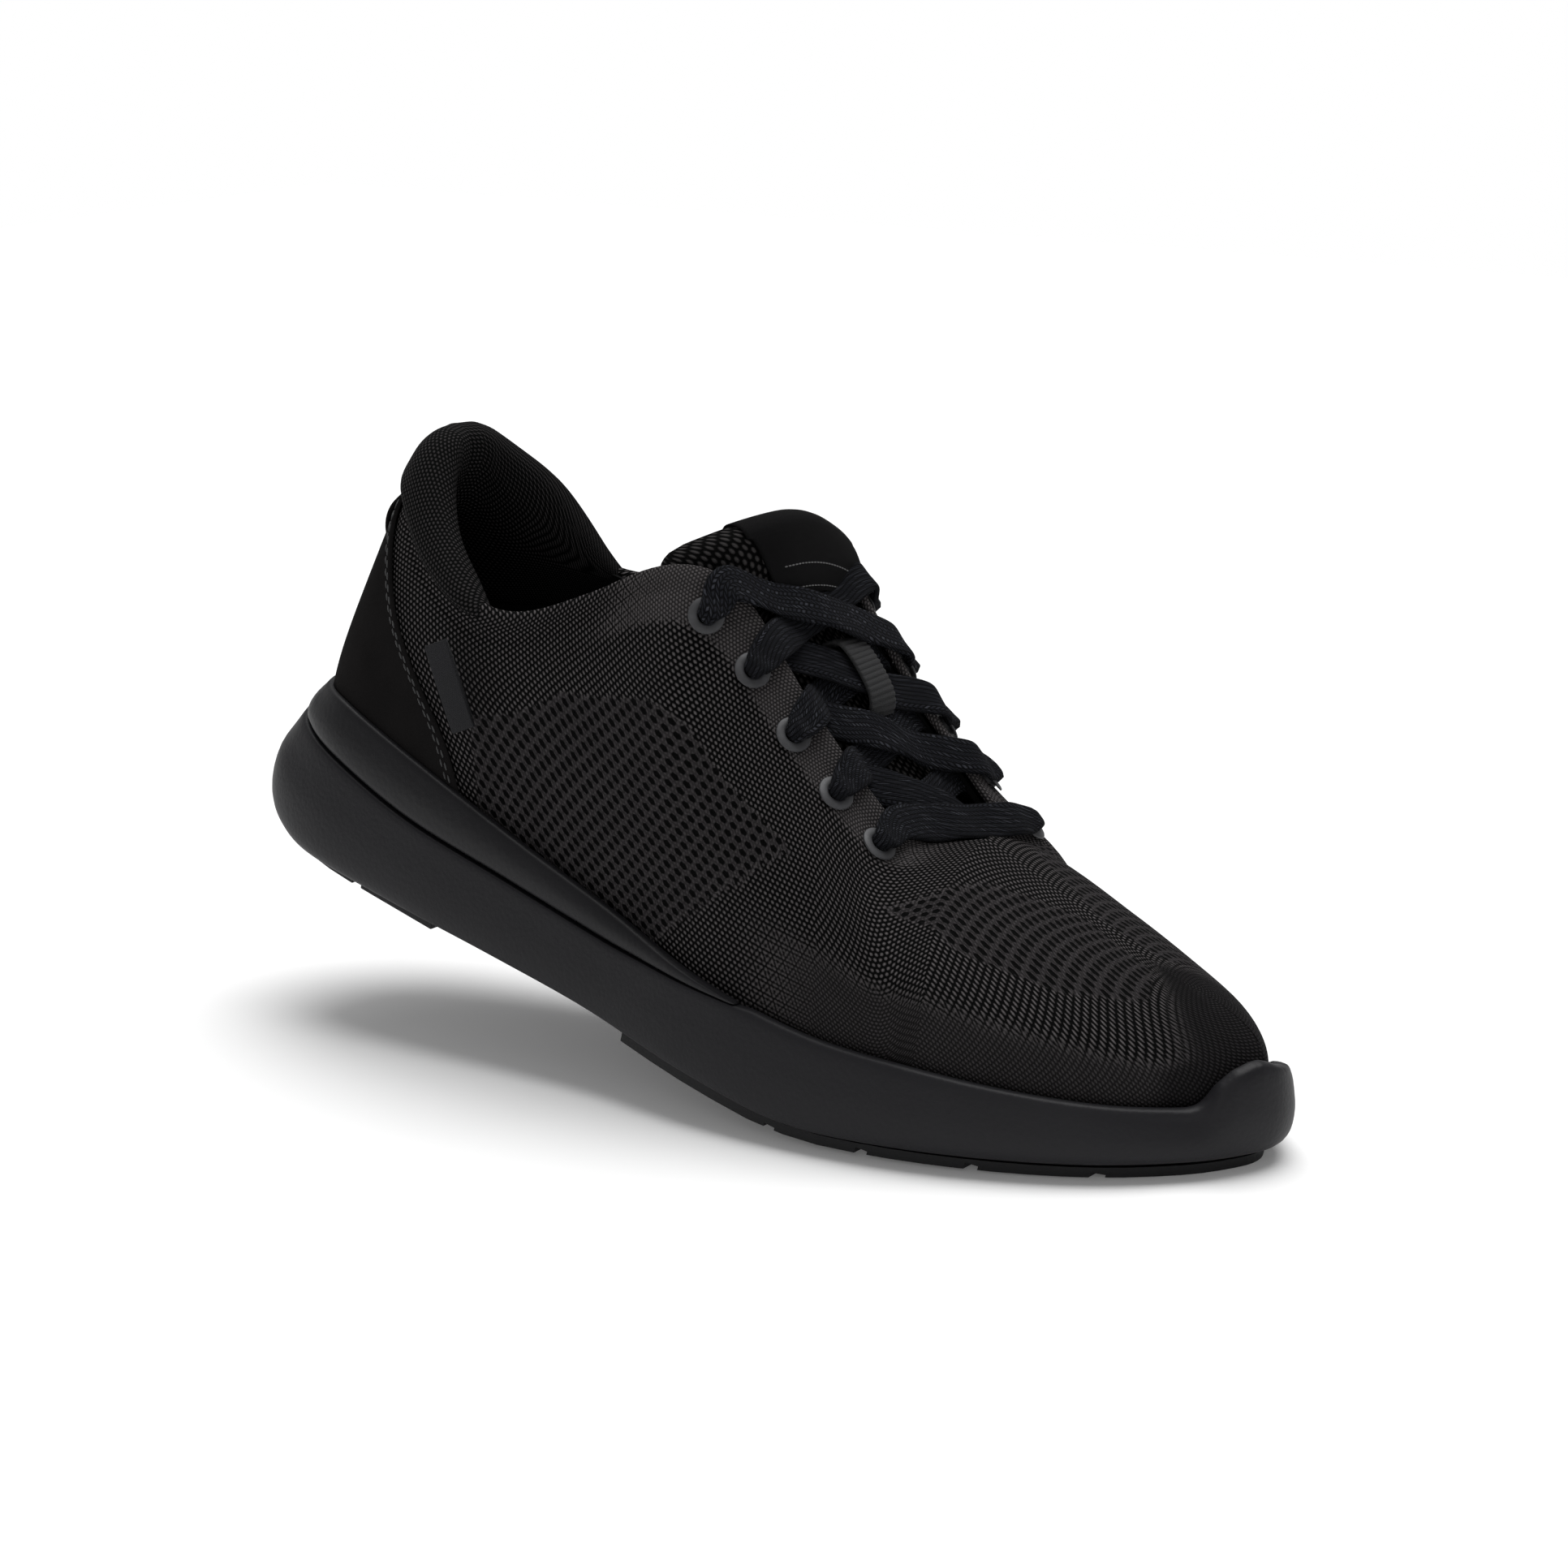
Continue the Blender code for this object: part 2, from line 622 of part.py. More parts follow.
def buildSideLabel():
    """Small woven flag sewn into the front edge of the heel panel."""
    a = np.array([61.5, -39.6, 76.5])
    b = np.array([75.5, -39.9, 57.5])
    down = unit(b - a)
    front = unit(np.cross(down, (0, 1, 0)))
    corners = [a, b, b + front * 9.5, a + front * 9.5]
    bm = bmesh.new()
    thick = Vector((0, -1.0, 0))
    loops = [[Vector(p) for p in corners], [Vector(p) + thick for p in corners]]
    rings = bridgeStations(bm, loops, False)
    bm.faces.new(rings[0][::-1])
    bm.faces.new(rings[1])
    return finish(bm, "side_label", (0.05, 0.05, 0.052), 0.8)


def collarSection(side, station):
    """Inverted U over the wall's top edge, fatter and higher towards the heel."""
    share = 1 - smoothStep(1.5, 4.1, station)
    swell = COLLAR_SWELL * max(0.0, COLLAR_FRONT - topPoint(side, station)[0])
    width = 9.4 + 6.4 * share
    slotTop = 3.2
    height = slotTop + swell + 2.4 + 4.0 * share
    seam = topPoint(side, station).copy()
    seam[2] -= 2.0
    away = outward(side, station)
    skirt = 2.4
    clear = 0.9
    inner = STACK + 0.6
    back = skirt - width
    shape = [(skirt - 0.4, 0), (skirt, height * 0.35), (skirt - 0.3, height * 0.72), (-0.8, height),
             (back * 0.55, height), (back * 0.92, height * 0.74), (back, height * 0.3), (back + 0.8, -1.0),
             (-inner, -1.0), (-inner, slotTop), (clear, slotTop), (clear, 0)]
    lean = math.radians(12) * share
    points = []
    for out, up in shape:
        tilt = -up * math.sin(lean)
        points.append(Vector((*(seam[:2] + away * (out + tilt * (up > 3))), seam[2] + up)))
    return points


def buildCollar():
    reach = np.linspace(0, 3.85, 12)
    stops = [(-1, s) for s in reach[::-1]] + [(1, s) for s in reach[1:]]
    bm = bmesh.new()
    rings = bridgeStations(bm, [collarSection(*stop) for stop in stops], False)
    bm.faces.new(rings[0][::-1])
    bm.faces.new(rings[-1])
    return finish(bm, "collar_roll", (0.014, 0.014, 0.015), 0.95)


# ---------- tongue, label, keeper


TONGUE_HALF = 28.0
TONGUE_INNER_HALF = 25.0
TONGUE_FREE_HALF = 20.0
TONGUE_CENTRE_DEPTH = 4.3
TONGUE_ARCH = 10.5
# centre of the free end's front face, and how far the sides fall back and down
TONGUE_FREE = [(141.2, 3.4, 113.5, 9.5, 3.0), (138.8, 3.4, 120.5, 10.0, 5.0), (136.4, 3.4, 127.5, 10.0, 7.0),
               (133.4, 3.4, 133.0, 9.5, 8.0)]


def throatMiddle(station):
    outer = topPoint(-1, station)
    inner = topPoint(1, station)
    across = unit(inner - outer)
    step = 0.05
    ahead = (topPoint(-1, station + step) + topPoint(1, station + step)
             - topPoint(-1, station - step) - topPoint(1, station - step))
    ahead = unit(ahead - across * (ahead @ across))
    normal = unit(np.cross(ahead, across))
    if normal[2] < 0:
        normal = -normal
    return (outer + inner) / 2, across, ahead, normal


def tongueStations():
    """Centre, across, along (towards the toe), out of the foot, side fall back, side fall down, thickness."""
    frames = []
    for x, y, z, back, down in TONGUE_FREE[::-1]:
        along = unit((0.33, 0.02, -0.94))
        across = unit((0.10, 1, 0))
        normal = unit(np.cross(along, across))
        frames.append((np.array([x, y, z]), across, along, normal, back, down, 7.0, TONGUE_FREE_HALF))
    for station in np.linspace(6.9, 8.55, 9):
        middle, across, ahead, normal = throatMiddle(station)
        thick = 6.0 - 2.4 * (station - 6.9) / 1.65
        frames.append((middle - normal * TONGUE_CENTRE_DEPTH, across, ahead, normal, TONGUE_ARCH, 0.0, thick,
                       TONGUE_HALF))
    middle, across, ahead, normal = throatMiddle(8.55)
    tip = middle + ahead * 16 - normal * (TONGUE_CENTRE_DEPTH + 5.4)
    frames.append((tip, across, ahead, normal, TONGUE_ARCH, 0.0, 2.6, TONGUE_HALF))
    return frames


def tonguePoint(frame, q, depth):
    centre, across, along, normal, back, down, _, half = frame
    if q > 0:
        half = min(half, TONGUE_INNER_HALF)
    return (centre + across * half * q - normal * (back * q * q + depth) + along * down * q * q)


def buildTongue():
    places = np.linspace(-1, 1, 9)
    bm = bmesh.new()
    loops = []
    for frame in tongueStations():
        thick = frame[6]
        front = [tonguePoint(frame, q, 0) for q in places]
        rear = [tonguePoint(frame, q, thick) for q in places[::-1]]
        loops.append([Vector(p) for p in front + rear])
    rings = bridgeStations(bm, loops, False)
    bm.faces.new(rings[0][::-1])
    bm.faces.new(rings[-1])
    return finish(bm, "tongue", (0.016, 0.016, 0.016), 0.95)


def buildTongueLabel():
    """Woven label over the middle of the tongue's free end, front face, top and back."""
    frames = tongueStations()[:3]
    places = np.linspace(-0.45, 0.45, 5)
    skin = 0.8
    bm = bmesh.new()
    loops = []
    for frame in frames[::-1]:
        near = [tonguePoint(frame, q, -GAP) for q in places]
        far = [tonguePoint(frame, q, -GAP - skin) for q in places[::-1]]
        loops.append([Vector(p) for p in near + far])
    rings = bridgeStations(bm, loops, False)
    bm.faces.new(rings[0][::-1])
    bm.faces.new(rings[-1])
    return finish(bm, "tongue_label", (0.010, 0.010, 0.011), 0.55)


# ---------- lace


# eyelet to eyelet, outside or inside of the eyestay at each end, height of the crossing above the tongue
LACE_RUNS = [((-1, 1), "over", (1, 2), "over", 9.2), ((1, 2), "under", (-1, 3), "over", 2.0),
             ((-1, 3), "under", (1, 4), "over", 5.0), ((1, 4), "under", (-1, 5), "under", 2.0),
             ((-1, 5), "over", (1, 5), "over", 8.0), ((1, 5), "under", (-1, 4), "under", 5.0),
             ((-1, 4), "over", (1, 3), "under", 2.0), ((1, 3), "over", (-1, 2), "under", 5.0),
             ((-1, 2), "over", (1, 1), "over", 5.0)]


def lacePath():
    """Route of the one lace, with how much it is bunched at each point (1 flat, 0 in an eyelet)."""
    route = []

    def passEyelet(key, downwards):
        centre, normal, _, _ = eyeletFrame(*key)
        steps = [(2.6, 0.15), (0.4, 0.0), (-2.4, 0.0), (-5.0, 0.1)]
        for lift, flat in steps if downwards else steps[::-1]:
            route.append((centre + normal * lift, flat))

    def leave(key, way):
        centre, normal, _, edge = eyeletFrame(*key)
        inwards = unit(edge - centre)
        if way == "over":
            return [(centre + inwards * 3.6 + normal * 4.2, 0.5), (edge + normal * OVER_LIFT, 1.0)]
        return [(centre + inwards * 3.4 - normal * UNDER_DEPTH, 0.4), (edge - normal * (UNDER_DEPTH + 0.2), 0.9)]

    passEyelet((-1, 1), False)
    for start, startWay, end, endWay, height in LACE_RUNS:
        out = leave(start, startWay)
        back = leave(end, endWay)[::-1]
        route.extend(out)
        a = out[-1][0]
        b = back[0][0]
        first, last = EYELET_STATIONS[-1]
        level = (start[1] + end[1]) / 2
        station = first + (last - first) * (level - 1) / 4
        middle, across, ahead, normal = throatMiddle(min(station, 8.45))
        for f in (0.28, 0.5, 0.72):
            p = a + (b - a) * f
            over = (p - middle) @ normal + TONGUE_CENTRE_DEPTH
            q = ((p - middle) @ across) / TONGUE_HALF
            wanted = height - TONGUE_ARCH * q * q
            route.append((p + normal * (wanted - over), 1.0))
        route.extend(back)
        passEyelet(end, endWay == "over")
    return route


def smoothRoute(points, spacing):
    """Points every spacing or so along a smooth curve through the route."""
    out = []
    count = len(points)
    for k in range(count - 1):
        a = points[max(k - 1, 0)]
        b = points[k]
        c = points[k + 1]
        d = points[min(k + 2, count - 1)]
        steps = max(1, int(round(np.linalg.norm(c[:3] - b[:3]) / spacing)))
        for j in range(steps):
            f = j / steps
            out.append(0.5 * (2 * b + (c - a) * f + (2 * a - 5 * b + 4 * c - d) * f**2
                              + (3 * b - a - 3 * c + d) * f**3))
    out.append(points[-1])
    return out


def laceRing(p, tangent, flat):
    """Flattened section of the lace; its width lies along the instep."""
    row = unit((0.80, 0.03, -0.60))
    wide = unit(row - tangent * (row @ tangent))
    thin = np.cross(tangent, wide)
    halfWide = 2.0 + (LACE_WIDTH / 2 - 2.0) * flat
    halfThin = 1.6 + (LACE_THICK / 2 - 1.6) * flat
    shape = [(-1, 0), (-0.8, 0.75), (0, 1), (0.8, 0.75), (1, 0), (0.8, -0.75), (0, -1), (-0.8, -0.75)]
    return [Vector(p + wide * halfWide * a + thin * halfThin * b) for a, b in shape]


def buildLace():
    route = [np.append(p, flat) for p, flat in lacePath()]
    line = smoothRoute(route, 4.6)
    bm = bmesh.new()
    loops = []
    for k, point in enumerate(line):
        tangent = unit(line[min(k + 1, len(line) - 1)][:3] - line[max(k - 1, 0)][:3])
        loops.append(laceRing(point[:3], tangent, min(max(point[3], 0.0), 1.0)))
    rings = bridgeStations(bm, loops, False)
    bm.faces.new(rings[0][::-1])
    bm.faces.new(rings[-1])
    return finish(bm, "lace", (0.012, 0.013, 0.017), 0.9)


def buildLaceKeeper():
    """Ribbed strap sewn to the tongue at both ends, over one run of the lace."""
    path = []
    for station, height in ((7.03, 0.5), (7.06, 4.4), (7.12, 8.0), (7.3, 8.8), (7.5, 8.2), (7.57, 4.2), (7.63, 0.5)):
        middle, across, ahead, normal = throatMiddle(station)
        path.append(middle + across * 1.0 - normal * (TONGUE_CENTRE_DEPTH - height))
    _, across, _, _ = throatMiddle(7.3)
    return ribbon("lace_keeper", path, across, 11.0, 1.1, (0.045, 0.045, 0.047), 0.8)


def addPivot(name, place, children):
    """An empty on a joint's axis that carries the moving pieces."""
    pivot = bpy.data.objects.new(name, None)
    pivot.location = toRow(place)
    bpy.context.collection.objects.link(pivot)
    for child in children:
        child.parent = pivot
        child.matrix_parent_inverse = Matrix.Translation(toRow(place)).inverted()


def main():
    clearScene()
    buildOutsole()
    buildMidsole()
    buildHeelBand()
    _, insole = buildInnerSoles()
    buildUpper()
    buildHeelPanel()
    buildEyelets()
    tab = buildHeelTab()
    label = buildSideLabel()
    buildCollar()
    buildTongue()
    buildTongueLabel()
    buildLace()
    buildLaceKeeper()
    addPivot("insole_pivot", (288.3, 5, 36.2), [insole])
    addPivot("tab_pivot", (16.6, 0, 87.0), [tab])
    addPivot("label_pivot", (68.5, -39.8, 67), [label])


main()
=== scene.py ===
import math

import bmesh
import bpy
import numpy as np
from mathutils import Matrix, Vector


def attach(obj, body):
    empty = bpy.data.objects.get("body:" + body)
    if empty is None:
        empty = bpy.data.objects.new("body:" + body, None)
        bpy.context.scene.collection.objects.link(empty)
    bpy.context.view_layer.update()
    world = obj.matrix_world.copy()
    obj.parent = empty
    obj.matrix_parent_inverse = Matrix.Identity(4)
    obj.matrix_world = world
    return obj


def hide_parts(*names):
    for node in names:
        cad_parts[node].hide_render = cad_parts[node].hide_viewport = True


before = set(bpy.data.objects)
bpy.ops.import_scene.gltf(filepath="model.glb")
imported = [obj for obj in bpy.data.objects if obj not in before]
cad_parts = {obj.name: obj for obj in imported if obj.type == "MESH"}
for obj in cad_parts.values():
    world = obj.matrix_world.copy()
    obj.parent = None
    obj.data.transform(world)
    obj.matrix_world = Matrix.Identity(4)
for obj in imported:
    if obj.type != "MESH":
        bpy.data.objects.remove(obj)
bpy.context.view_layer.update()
print("frame loaded")

# The shoe's shape, in mm: x from heel 0 to toe 306, y to the inner side, z up.
# Places round the shoe are stations, 0 at the back of the heel and 14 at the toe tip on either side.
form = {
    "length": 306.0,
    "rimWall": 3.5,
    "outerEdge": [(0, 0), (3, -15), (14, -27.5), (34, -35.5), (64, -39), (98, -41), (132, -44), (166, -51),
                  (200, -53.9), (230, -52), (256, -45), (278, -34), (295, -19), (303.5, -5.5), (306, 4.5)],
    "innerEdge": [(0, 0), (3, 15), (14, 27.5), (34, 34.5), (64, 37), (98, 36.5), (132, 38.5), (166, 45),
                  (200, 51.5), (228, 53.9), (252, 50.5), (275, 41), (292.5, 27.5), (303, 14.5), (306, 4.5)],
    "rimHeight": [(0, 45), (2, 45.5), (3, 46.5), (4, 40.5), (5, 33), (6, 26.3), (7, 24.3), (8, 26.7),
                  (9, 31.2), (10, 34.2), (11, 36.7), (12, 39), (14, 42.5)],
    "outerBumper": [(0, 0), (11.95, 0), (12.1, 2), (12.25, 6), (12.5, 9.2), (12.8, 10.6), (13, 10.8),
                    (14, 7)],
    "innerBumper": [(0, 0), (11.9, 0), (12.25, 2.5), (12.6, 5), (13, 6.5), (14, 7)],
    "toeLean": [(0, 20), (10.5, 6), (11.5, 3.8), (12.5, 4), (14, 4)],
    "rimLift": [(0, 0), (3, 0.8), (4, 2.5), (5, 4.0), (6, 6.0), (7, 4.6), (8, 2.2), (9, 1.0), (10, 0.5),
                (11, 0.3), (14, 0)],
    "rimInset": [(0, 12.8), (1, 12), (2, 8.6), (3, 4.4), (5, 2), (8, 2.2), (11, 3.2), (12.5, 4.6), (14, 4.8)],
    "parting": [(0, 34), (2, 34), (3, 32.6), (4, 27.8), (5, 25.6), (6, 24.0), (6.5, 24.9), (7, 26.2),
                (7.5, 28.0)],
    "bed": [(0, 30), (3, 29.5), (4, 27.5), (5, 22.5), (6, 18.5), (7, 17), (8, 18), (9, 21.5), (10, 25.5),
            (11, 29), (12, 32), (14, 35)],
    "outerTop": [(0, 25, 0, 106), (1, 27.5, -10, 106), (2, 34, -18, 103), (3, 48.5, -25.3, 93.5),
                 (4, 69, -31.3, 88.2), (4.6, 84, -33.2, 91.5), (5.3, 102, -32.6, 103.5),
                 (6, 118, -28.3, 116.3),
                 (6.45, 130.5, -23.5, 119.4), (6.8, 140, -17.6, 113.6), (7.5, 161, -15.4, 95.3),
                 (8.3, 185.5, -13, 77), (8.7, 196.5, -8, 69.5), (9, 204.5, 12, 69)],
    "innerTop": [(0, 25, 0, 106), (1, 27.5, 10, 106), (2, 34, 18, 103), (3, 48.5, 25, 93.5),
                 (4, 69, 30.3, 88.2),
                 (4.6, 84, 32.2, 91.2), (5.3, 103, 32.8, 102.5), (6, 122, 31.2, 115), (6.45, 136, 29, 118),
                 (6.8, 147.5, 27, 110), (7.5, 167, 27, 93.3), (8.3, 191, 27, 76.5), (8.7, 203.5, 24.5, 68.8),
                 (9, 204.5, 12, 69)],
    "ridge": [(9, 204.5, 12, 69), (10, 230, 11, 63.8), (11, 250, 9, 60), (12, 261, 7.5, 58.7),
              (13, 267, 6.5, 58.2), (14, 269, 6, 58)],
    "outerBend": [(0, 77, 20, 89, 20), (4, 84, 15, 92, 16), (5, 82, 20, 93, 20), (6, 62, 28, 94, 30),
                  (6.8, 24, 22, 93, 38), (8, 15, 22, 93, 30), (9, 3, 38, 92, 22), (10, 1, 32, 92, 19),
                  (11, 0, 25, 92, 15), (12, 2, 19, 90, 12), (13, 4, 18, 89, 12), (14, 5, 18, 89, 12)],
    "innerBend": [(0, 77, 20, 89, 20), (4, 84, 15, 92, 16), (5, 82, 20, 92, 22), (6, 66, 22, 93, 36),
                  (6.8, 30, 11, 92, 44), (8, 22, 13, 92, 34), (9, 4, 25, 90, 24), (10, 3, 25, 88, 17),
                  (11, 3, 22, 87, 13), (12, 3, 20, 88, 12), (13, 4, 18, 89, 12), (14, 5, 18, 89, 12)],
    "eyeletStations": {-1: (6.62, 8.52), 1: (6.65, 8.66)},
    "eyeletSetback": 10.5,
}


def keyed(keys, u):
    # smooth curve through keys of (place, value...)
    places = [key[0] for key in keys]
    values = np.array([key[1:] for key in keys], float)
    u = min(max(u, places[0]), places[-1])
    k = 0
    while k < len(places) - 2 and u > places[k + 1]:
        k += 1

    def slope(j):
        low = max(j - 1, 0)
        high = min(j + 1, len(places) - 1)
        return (values[high] - values[low]) / (places[high] - places[low])

    span = places[k + 1] - places[k]
    f = (u - places[k]) / span
    value = ((2 * f**3 - 3 * f**2 + 1) * values[k] + (f**3 - 2 * f**2 + f) * span * slope(k)
             + (3 * f**2 - 2 * f**3) * values[k + 1] + (f**3 - f**2) * span * slope(k + 1))
    return value if len(value) > 1 else float(value[0])


def smoothStep(low, high, u):
    f = np.clip((np.asarray(u, float) - low) / (high - low), 0.0, 1.0)
    return f * f * (3 - 2 * f)


def unit(v):
    v = np.asarray(v, float)
    return v / (np.linalg.norm(v, axis=-1, keepdims=True) + 1e-12)


def throughFour(a, b, c, d, f):
    # smooth curve from b to c, f of the way along, with a and d as its neighbours
    return 0.5 * (2 * b + (c - a) * f + (2 * a - 5 * b + 4 * c - d) * f**2 + (3 * b - a - 3 * c + d) * f**3)


def runAlong(path):
    # distance along the path to each of its points
    return np.concatenate([[0], np.cumsum(np.linalg.norm(np.diff(path, axis=0), axis=1))])


def onPath(place, run, path):
    return np.array([np.interp(place, run, path[:, k]) for k in range(3)])


def squarish(turn, power):
    # a sine or cosine pushed towards a square's corner, the more the smaller the power
    return math.copysign(abs(turn)**power, turn)


edgeLoop = np.array(form["outerEdge"] + form["innerEdge"][-2:0:-1], float)


def edgePoint(side, station):
    count = len(edgeLoop)
    u = (station if side < 0 else count - station) % count
    k = int(u)
    f = u - k
    return throughFour(*(edgeLoop[(k + j) % count] for j in (-1, 0, 1, 2)), f)


def outward(side, station):
    along = (edgePoint(side, station + 0.02) - edgePoint(side, station - 0.02)) * -side
    return unit((along[1], -along[0]))


def inset(side, station, distance):
    return edgePoint(side, station) - outward(side, station) * distance


def at(side, station, distance, height):
    p = inset(side, station, distance)
    return (p[0], p[1], height)


def groundHeight(x):
    heel = 9.0 * max(0.0, (32.0 - x) / 32.0) ** 2
    rocker = max(0.0, x - 185.0)
    return heel + 0.235 * (rocker**2 / 60.0 if rocker < 30.0 else rocker - 15.0)


def rimHeight(side, station):
    bumper = form["outerBumper"] if side < 0 else form["innerBumper"]
    rise = float(np.interp(station, [key[0] for key in bumper], [key[1] for key in bumper]))
    return keyed(form["rimHeight"], station) + keyed(form["rimLift"], station) + rise


def rimInset(station):
    return keyed(form["rimInset"], station)


def topPoint(side, station):
    if station >= 9:
        return keyed(form["ridge"], station)
    return keyed(form["outerTop"] if side < 0 else form["innerTop"], station)


def wallProfile(side, station):
    fall, reachTop, rise, reachFoot = keyed(form["outerBend"] if side < 0 else form["innerBend"], station)
    away = outward(side, station)
    inwards = rimInset(station) + form["rimWall"] + 0.4
    foot = np.array(at(side, station, inwards, keyed(form["rimHeight"], station)))
    top = topPoint(side, station)
    fall = math.radians(fall)
    rise = math.radians(rise)
    liftFoot = np.array([*(away * -math.cos(rise)), math.sin(rise)]) * reachFoot
    dropTop = np.array([*(away * math.cos(fall)), -math.sin(fall)]) * reachTop
    return foot, foot + liftFoot, top + dropTop, top


def wallCurve(side, station, rises):
    a, b, c, d = wallProfile(side, station)
    v = np.asarray(rises, float)[:, None]
    return (1 - v)**3 * a + 3 * (1 - v)**2 * v * b + 3 * (1 - v) * v**2 * c + v**3 * d


def wallPoint(side, station, v):
    return wallCurve(side, station, [v])[0]


def sideOf(s):
    return -1 if s < 0 else 1


def gridNormals(points):
    # unit normals of a grid of points, turned away from its middle
    normals = unit(np.cross(np.gradient(points, axis=0), np.gradient(points, axis=1)))
    outwards = np.sum(normals * (points - points.mean(axis=(0, 1)))) >= 0
    return normals if outwards else -normals


def arcLengths(points, axis):
    steps = np.linalg.norm(np.diff(points, axis=axis), axis=-1)
    pad = [(0, 0), (0, 0)]
    pad[axis] = (1, 0)
    return np.cumsum(np.pad(steps, pad), axis=axis)


def smoothPath(points, spacing):
    # evenly spaced points on a smooth curve through the given ones, any number of values each
    points = [np.asarray(p, float) for p in points]
    dense = []
    count = len(points)
    for k in range(count - 1):
        four = [points[min(max(k + j, 0), count - 1)] for j in (-1, 0, 1, 2)]
        dense += [throughFour(*four, f) for f in np.linspace(0, 1, 12, endpoint=False)]
    dense.append(points[-1])
    dense = np.array(dense)
    run = runAlong(dense[:, :3])
    even = np.linspace(0, run[-1], max(2, int(round(run[-1] / spacing)) + 1))
    return np.stack([np.interp(even, run, dense[:, k]) for k in range(dense.shape[1])], axis=1), even


def toRow(p):
    return Vector(((p[0] - form["length"] / 2) / 1000, p[1] / 1000, p[2] / 1000))


def gridMesh(points, uvs, masks=None):
    # a grid made by the operator, each corner moved to its place; uvs are mm along and across the cloth
    columns, rows = points.shape[0] - 1, points.shape[1] - 1
    bm = bmesh.new()
    uvLayer = bm.loops.layers.uv.new("UVMap")
    bmesh.ops.create_grid(bm, x_segments=columns, y_segments=rows, size=0.5, calc_uvs=False)
    layers = {name: bm.verts.layers.float.new(name) for name in (masks or {})}
    spots = {}
    for v in bm.verts:
        spot = (round((v.co.x + 0.5) * columns), round((v.co.y + 0.5) * rows))
        spots[v] = spot
        v.co = toRow(points[spot])
        for name, layer in layers.items():
            v[layer] = float(masks[name][spot])
    for face in bm.faces:
        for loop in face.loops:
            loop[uvLayer].uv = uvs[spots[loop.vert]]
    return bm


def gridUvs(points):
    return np.stack([arcLengths(points, 0), arcLengths(points, 1)], axis=-1)


def weld(bm, distance=0.00002):
    bmesh.ops.remove_doubles(bm, verts=bm.verts, dist=distance)
    bmesh.ops.dissolve_degenerate(bm, edges=bm.edges, dist=distance / 2)


def turnOutward(bm):
    bmesh.ops.recalc_face_normals(bm, faces=bm.faces)
    if bm.calc_volume(signed=True) < 0:
        bmesh.ops.reverse_faces(bm, faces=bm.faces)


def closedBody(points):
    # a body whose sections are the rows of the grid, each row ending where it began
    bm = gridMesh(points, gridUvs(points))
    weld(bm)
    edges = [e for e in bm.edges if len(e.link_faces) == 1]
    bmesh.ops.holes_fill(bm, edges=edges, sides=0)
    turnOutward(bm)
    return bm


def faceAway(bm, inside):
    # open sheets: turn the faces away from the point that inside gives for each place
    bmesh.ops.recalc_face_normals(bm, faces=bm.faces)
    total = sum((f.calc_center_median() - inside(f.calc_center_median())).dot(f.normal) * f.calc_area()
                for f in bm.faces)
    if total < 0:
        bmesh.ops.reverse_faces(bm, faces=bm.faces)


def makePiece(bm, name, material, body="shoe", nodes=(), sharp=None):
    mesh = bpy.data.meshes.new(name)
    bm.to_mesh(mesh)
    bm.free()
    mesh.shade_smooth()
    if sharp:
        mesh.set_sharp_from_angle(angle=math.radians(sharp))
    piece = bpy.data.objects.new(name, mesh)
    bpy.context.collection.objects.link(piece)
    mesh.materials.append(material)
    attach(piece, body)
    if nodes:
        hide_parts(*nodes)
    return piece


def roundOff(piece, levels=1):
    mod = piece.modifiers.new("rounding", "SUBSURF")
    mod.levels = levels
    mod.render_levels = levels


def thicken(piece, thickness, offset):
    mod = piece.modifiers.new("thickness", "SOLIDIFY")
    mod.thickness = thickness
    mod.offset = offset


def nodeCopy(node, name, material, body="shoe", bevel=0.0, sharp=35):
    # a welded copy of a CAD node with softened edges
    bm = bmesh.new()
    bm.from_mesh(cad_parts[node].data)
    bmesh.ops.remove_doubles(bm, verts=bm.verts, dist=0.00001)
    piece = makePiece(bm, name, material, body, (node,), sharp)
    if bevel:
        mod = piece.modifiers.new("softEdge", "BEVEL")
        mod.width = bevel
        mod.segments = 3
        mod.limit_method = "ANGLE"
        mod.angle_limit = math.radians(sharp)
        mod.harden_normals = False


# finishes

def newGroup(name, inputs, outputs):
    group = bpy.data.node_groups.new(name, "ShaderNodeTree")
    for label, kind, value in inputs:
        socket = group.interface.new_socket(label, in_out="INPUT", socket_type=kind)
        if value is not None:
            socket.default_value = value
    for label, kind in outputs:
        group.interface.new_socket(label, in_out="OUTPUT", socket_type=kind)
    return group, group.nodes.new("NodeGroupInput"), group.nodes.new("NodeGroupOutput")


def feed(tree, socket, value):
    # a number or a colour is set on the socket, anything else is linked to it
    if isinstance(value, (int, float)):
        socket.default_value = value
    elif isinstance(value, tuple):
        socket.default_value = (*value, 1)
    else:
        tree.links.new(value, socket)


def calc(tree, operation, *values, clamp=False):
    node = tree.nodes.new("ShaderNodeMath")
    node.operation = operation
    node.use_clamp = clamp
    for k, value in enumerate(values):
        feed(tree, node.inputs[k], value)
    return node.outputs[0]


def ramp(tree, value, low, high):
    node = tree.nodes.new("ShaderNodeMapRange")
    node.interpolation_type = "SMOOTHSTEP"
    tree.links.new(value, node.inputs["Value"])
    node.inputs["From Min"].default_value = low
    node.inputs["From Max"].default_value = high
    return node.outputs["Result"]


def mixValue(tree, share, a, b):
    node = tree.nodes.new("ShaderNodeMix")
    node.data_type = "FLOAT"
    for k, value in ((0, share), (2, a), (3, b)):
        feed(tree, node.inputs[k], value)
    return node.outputs[0]


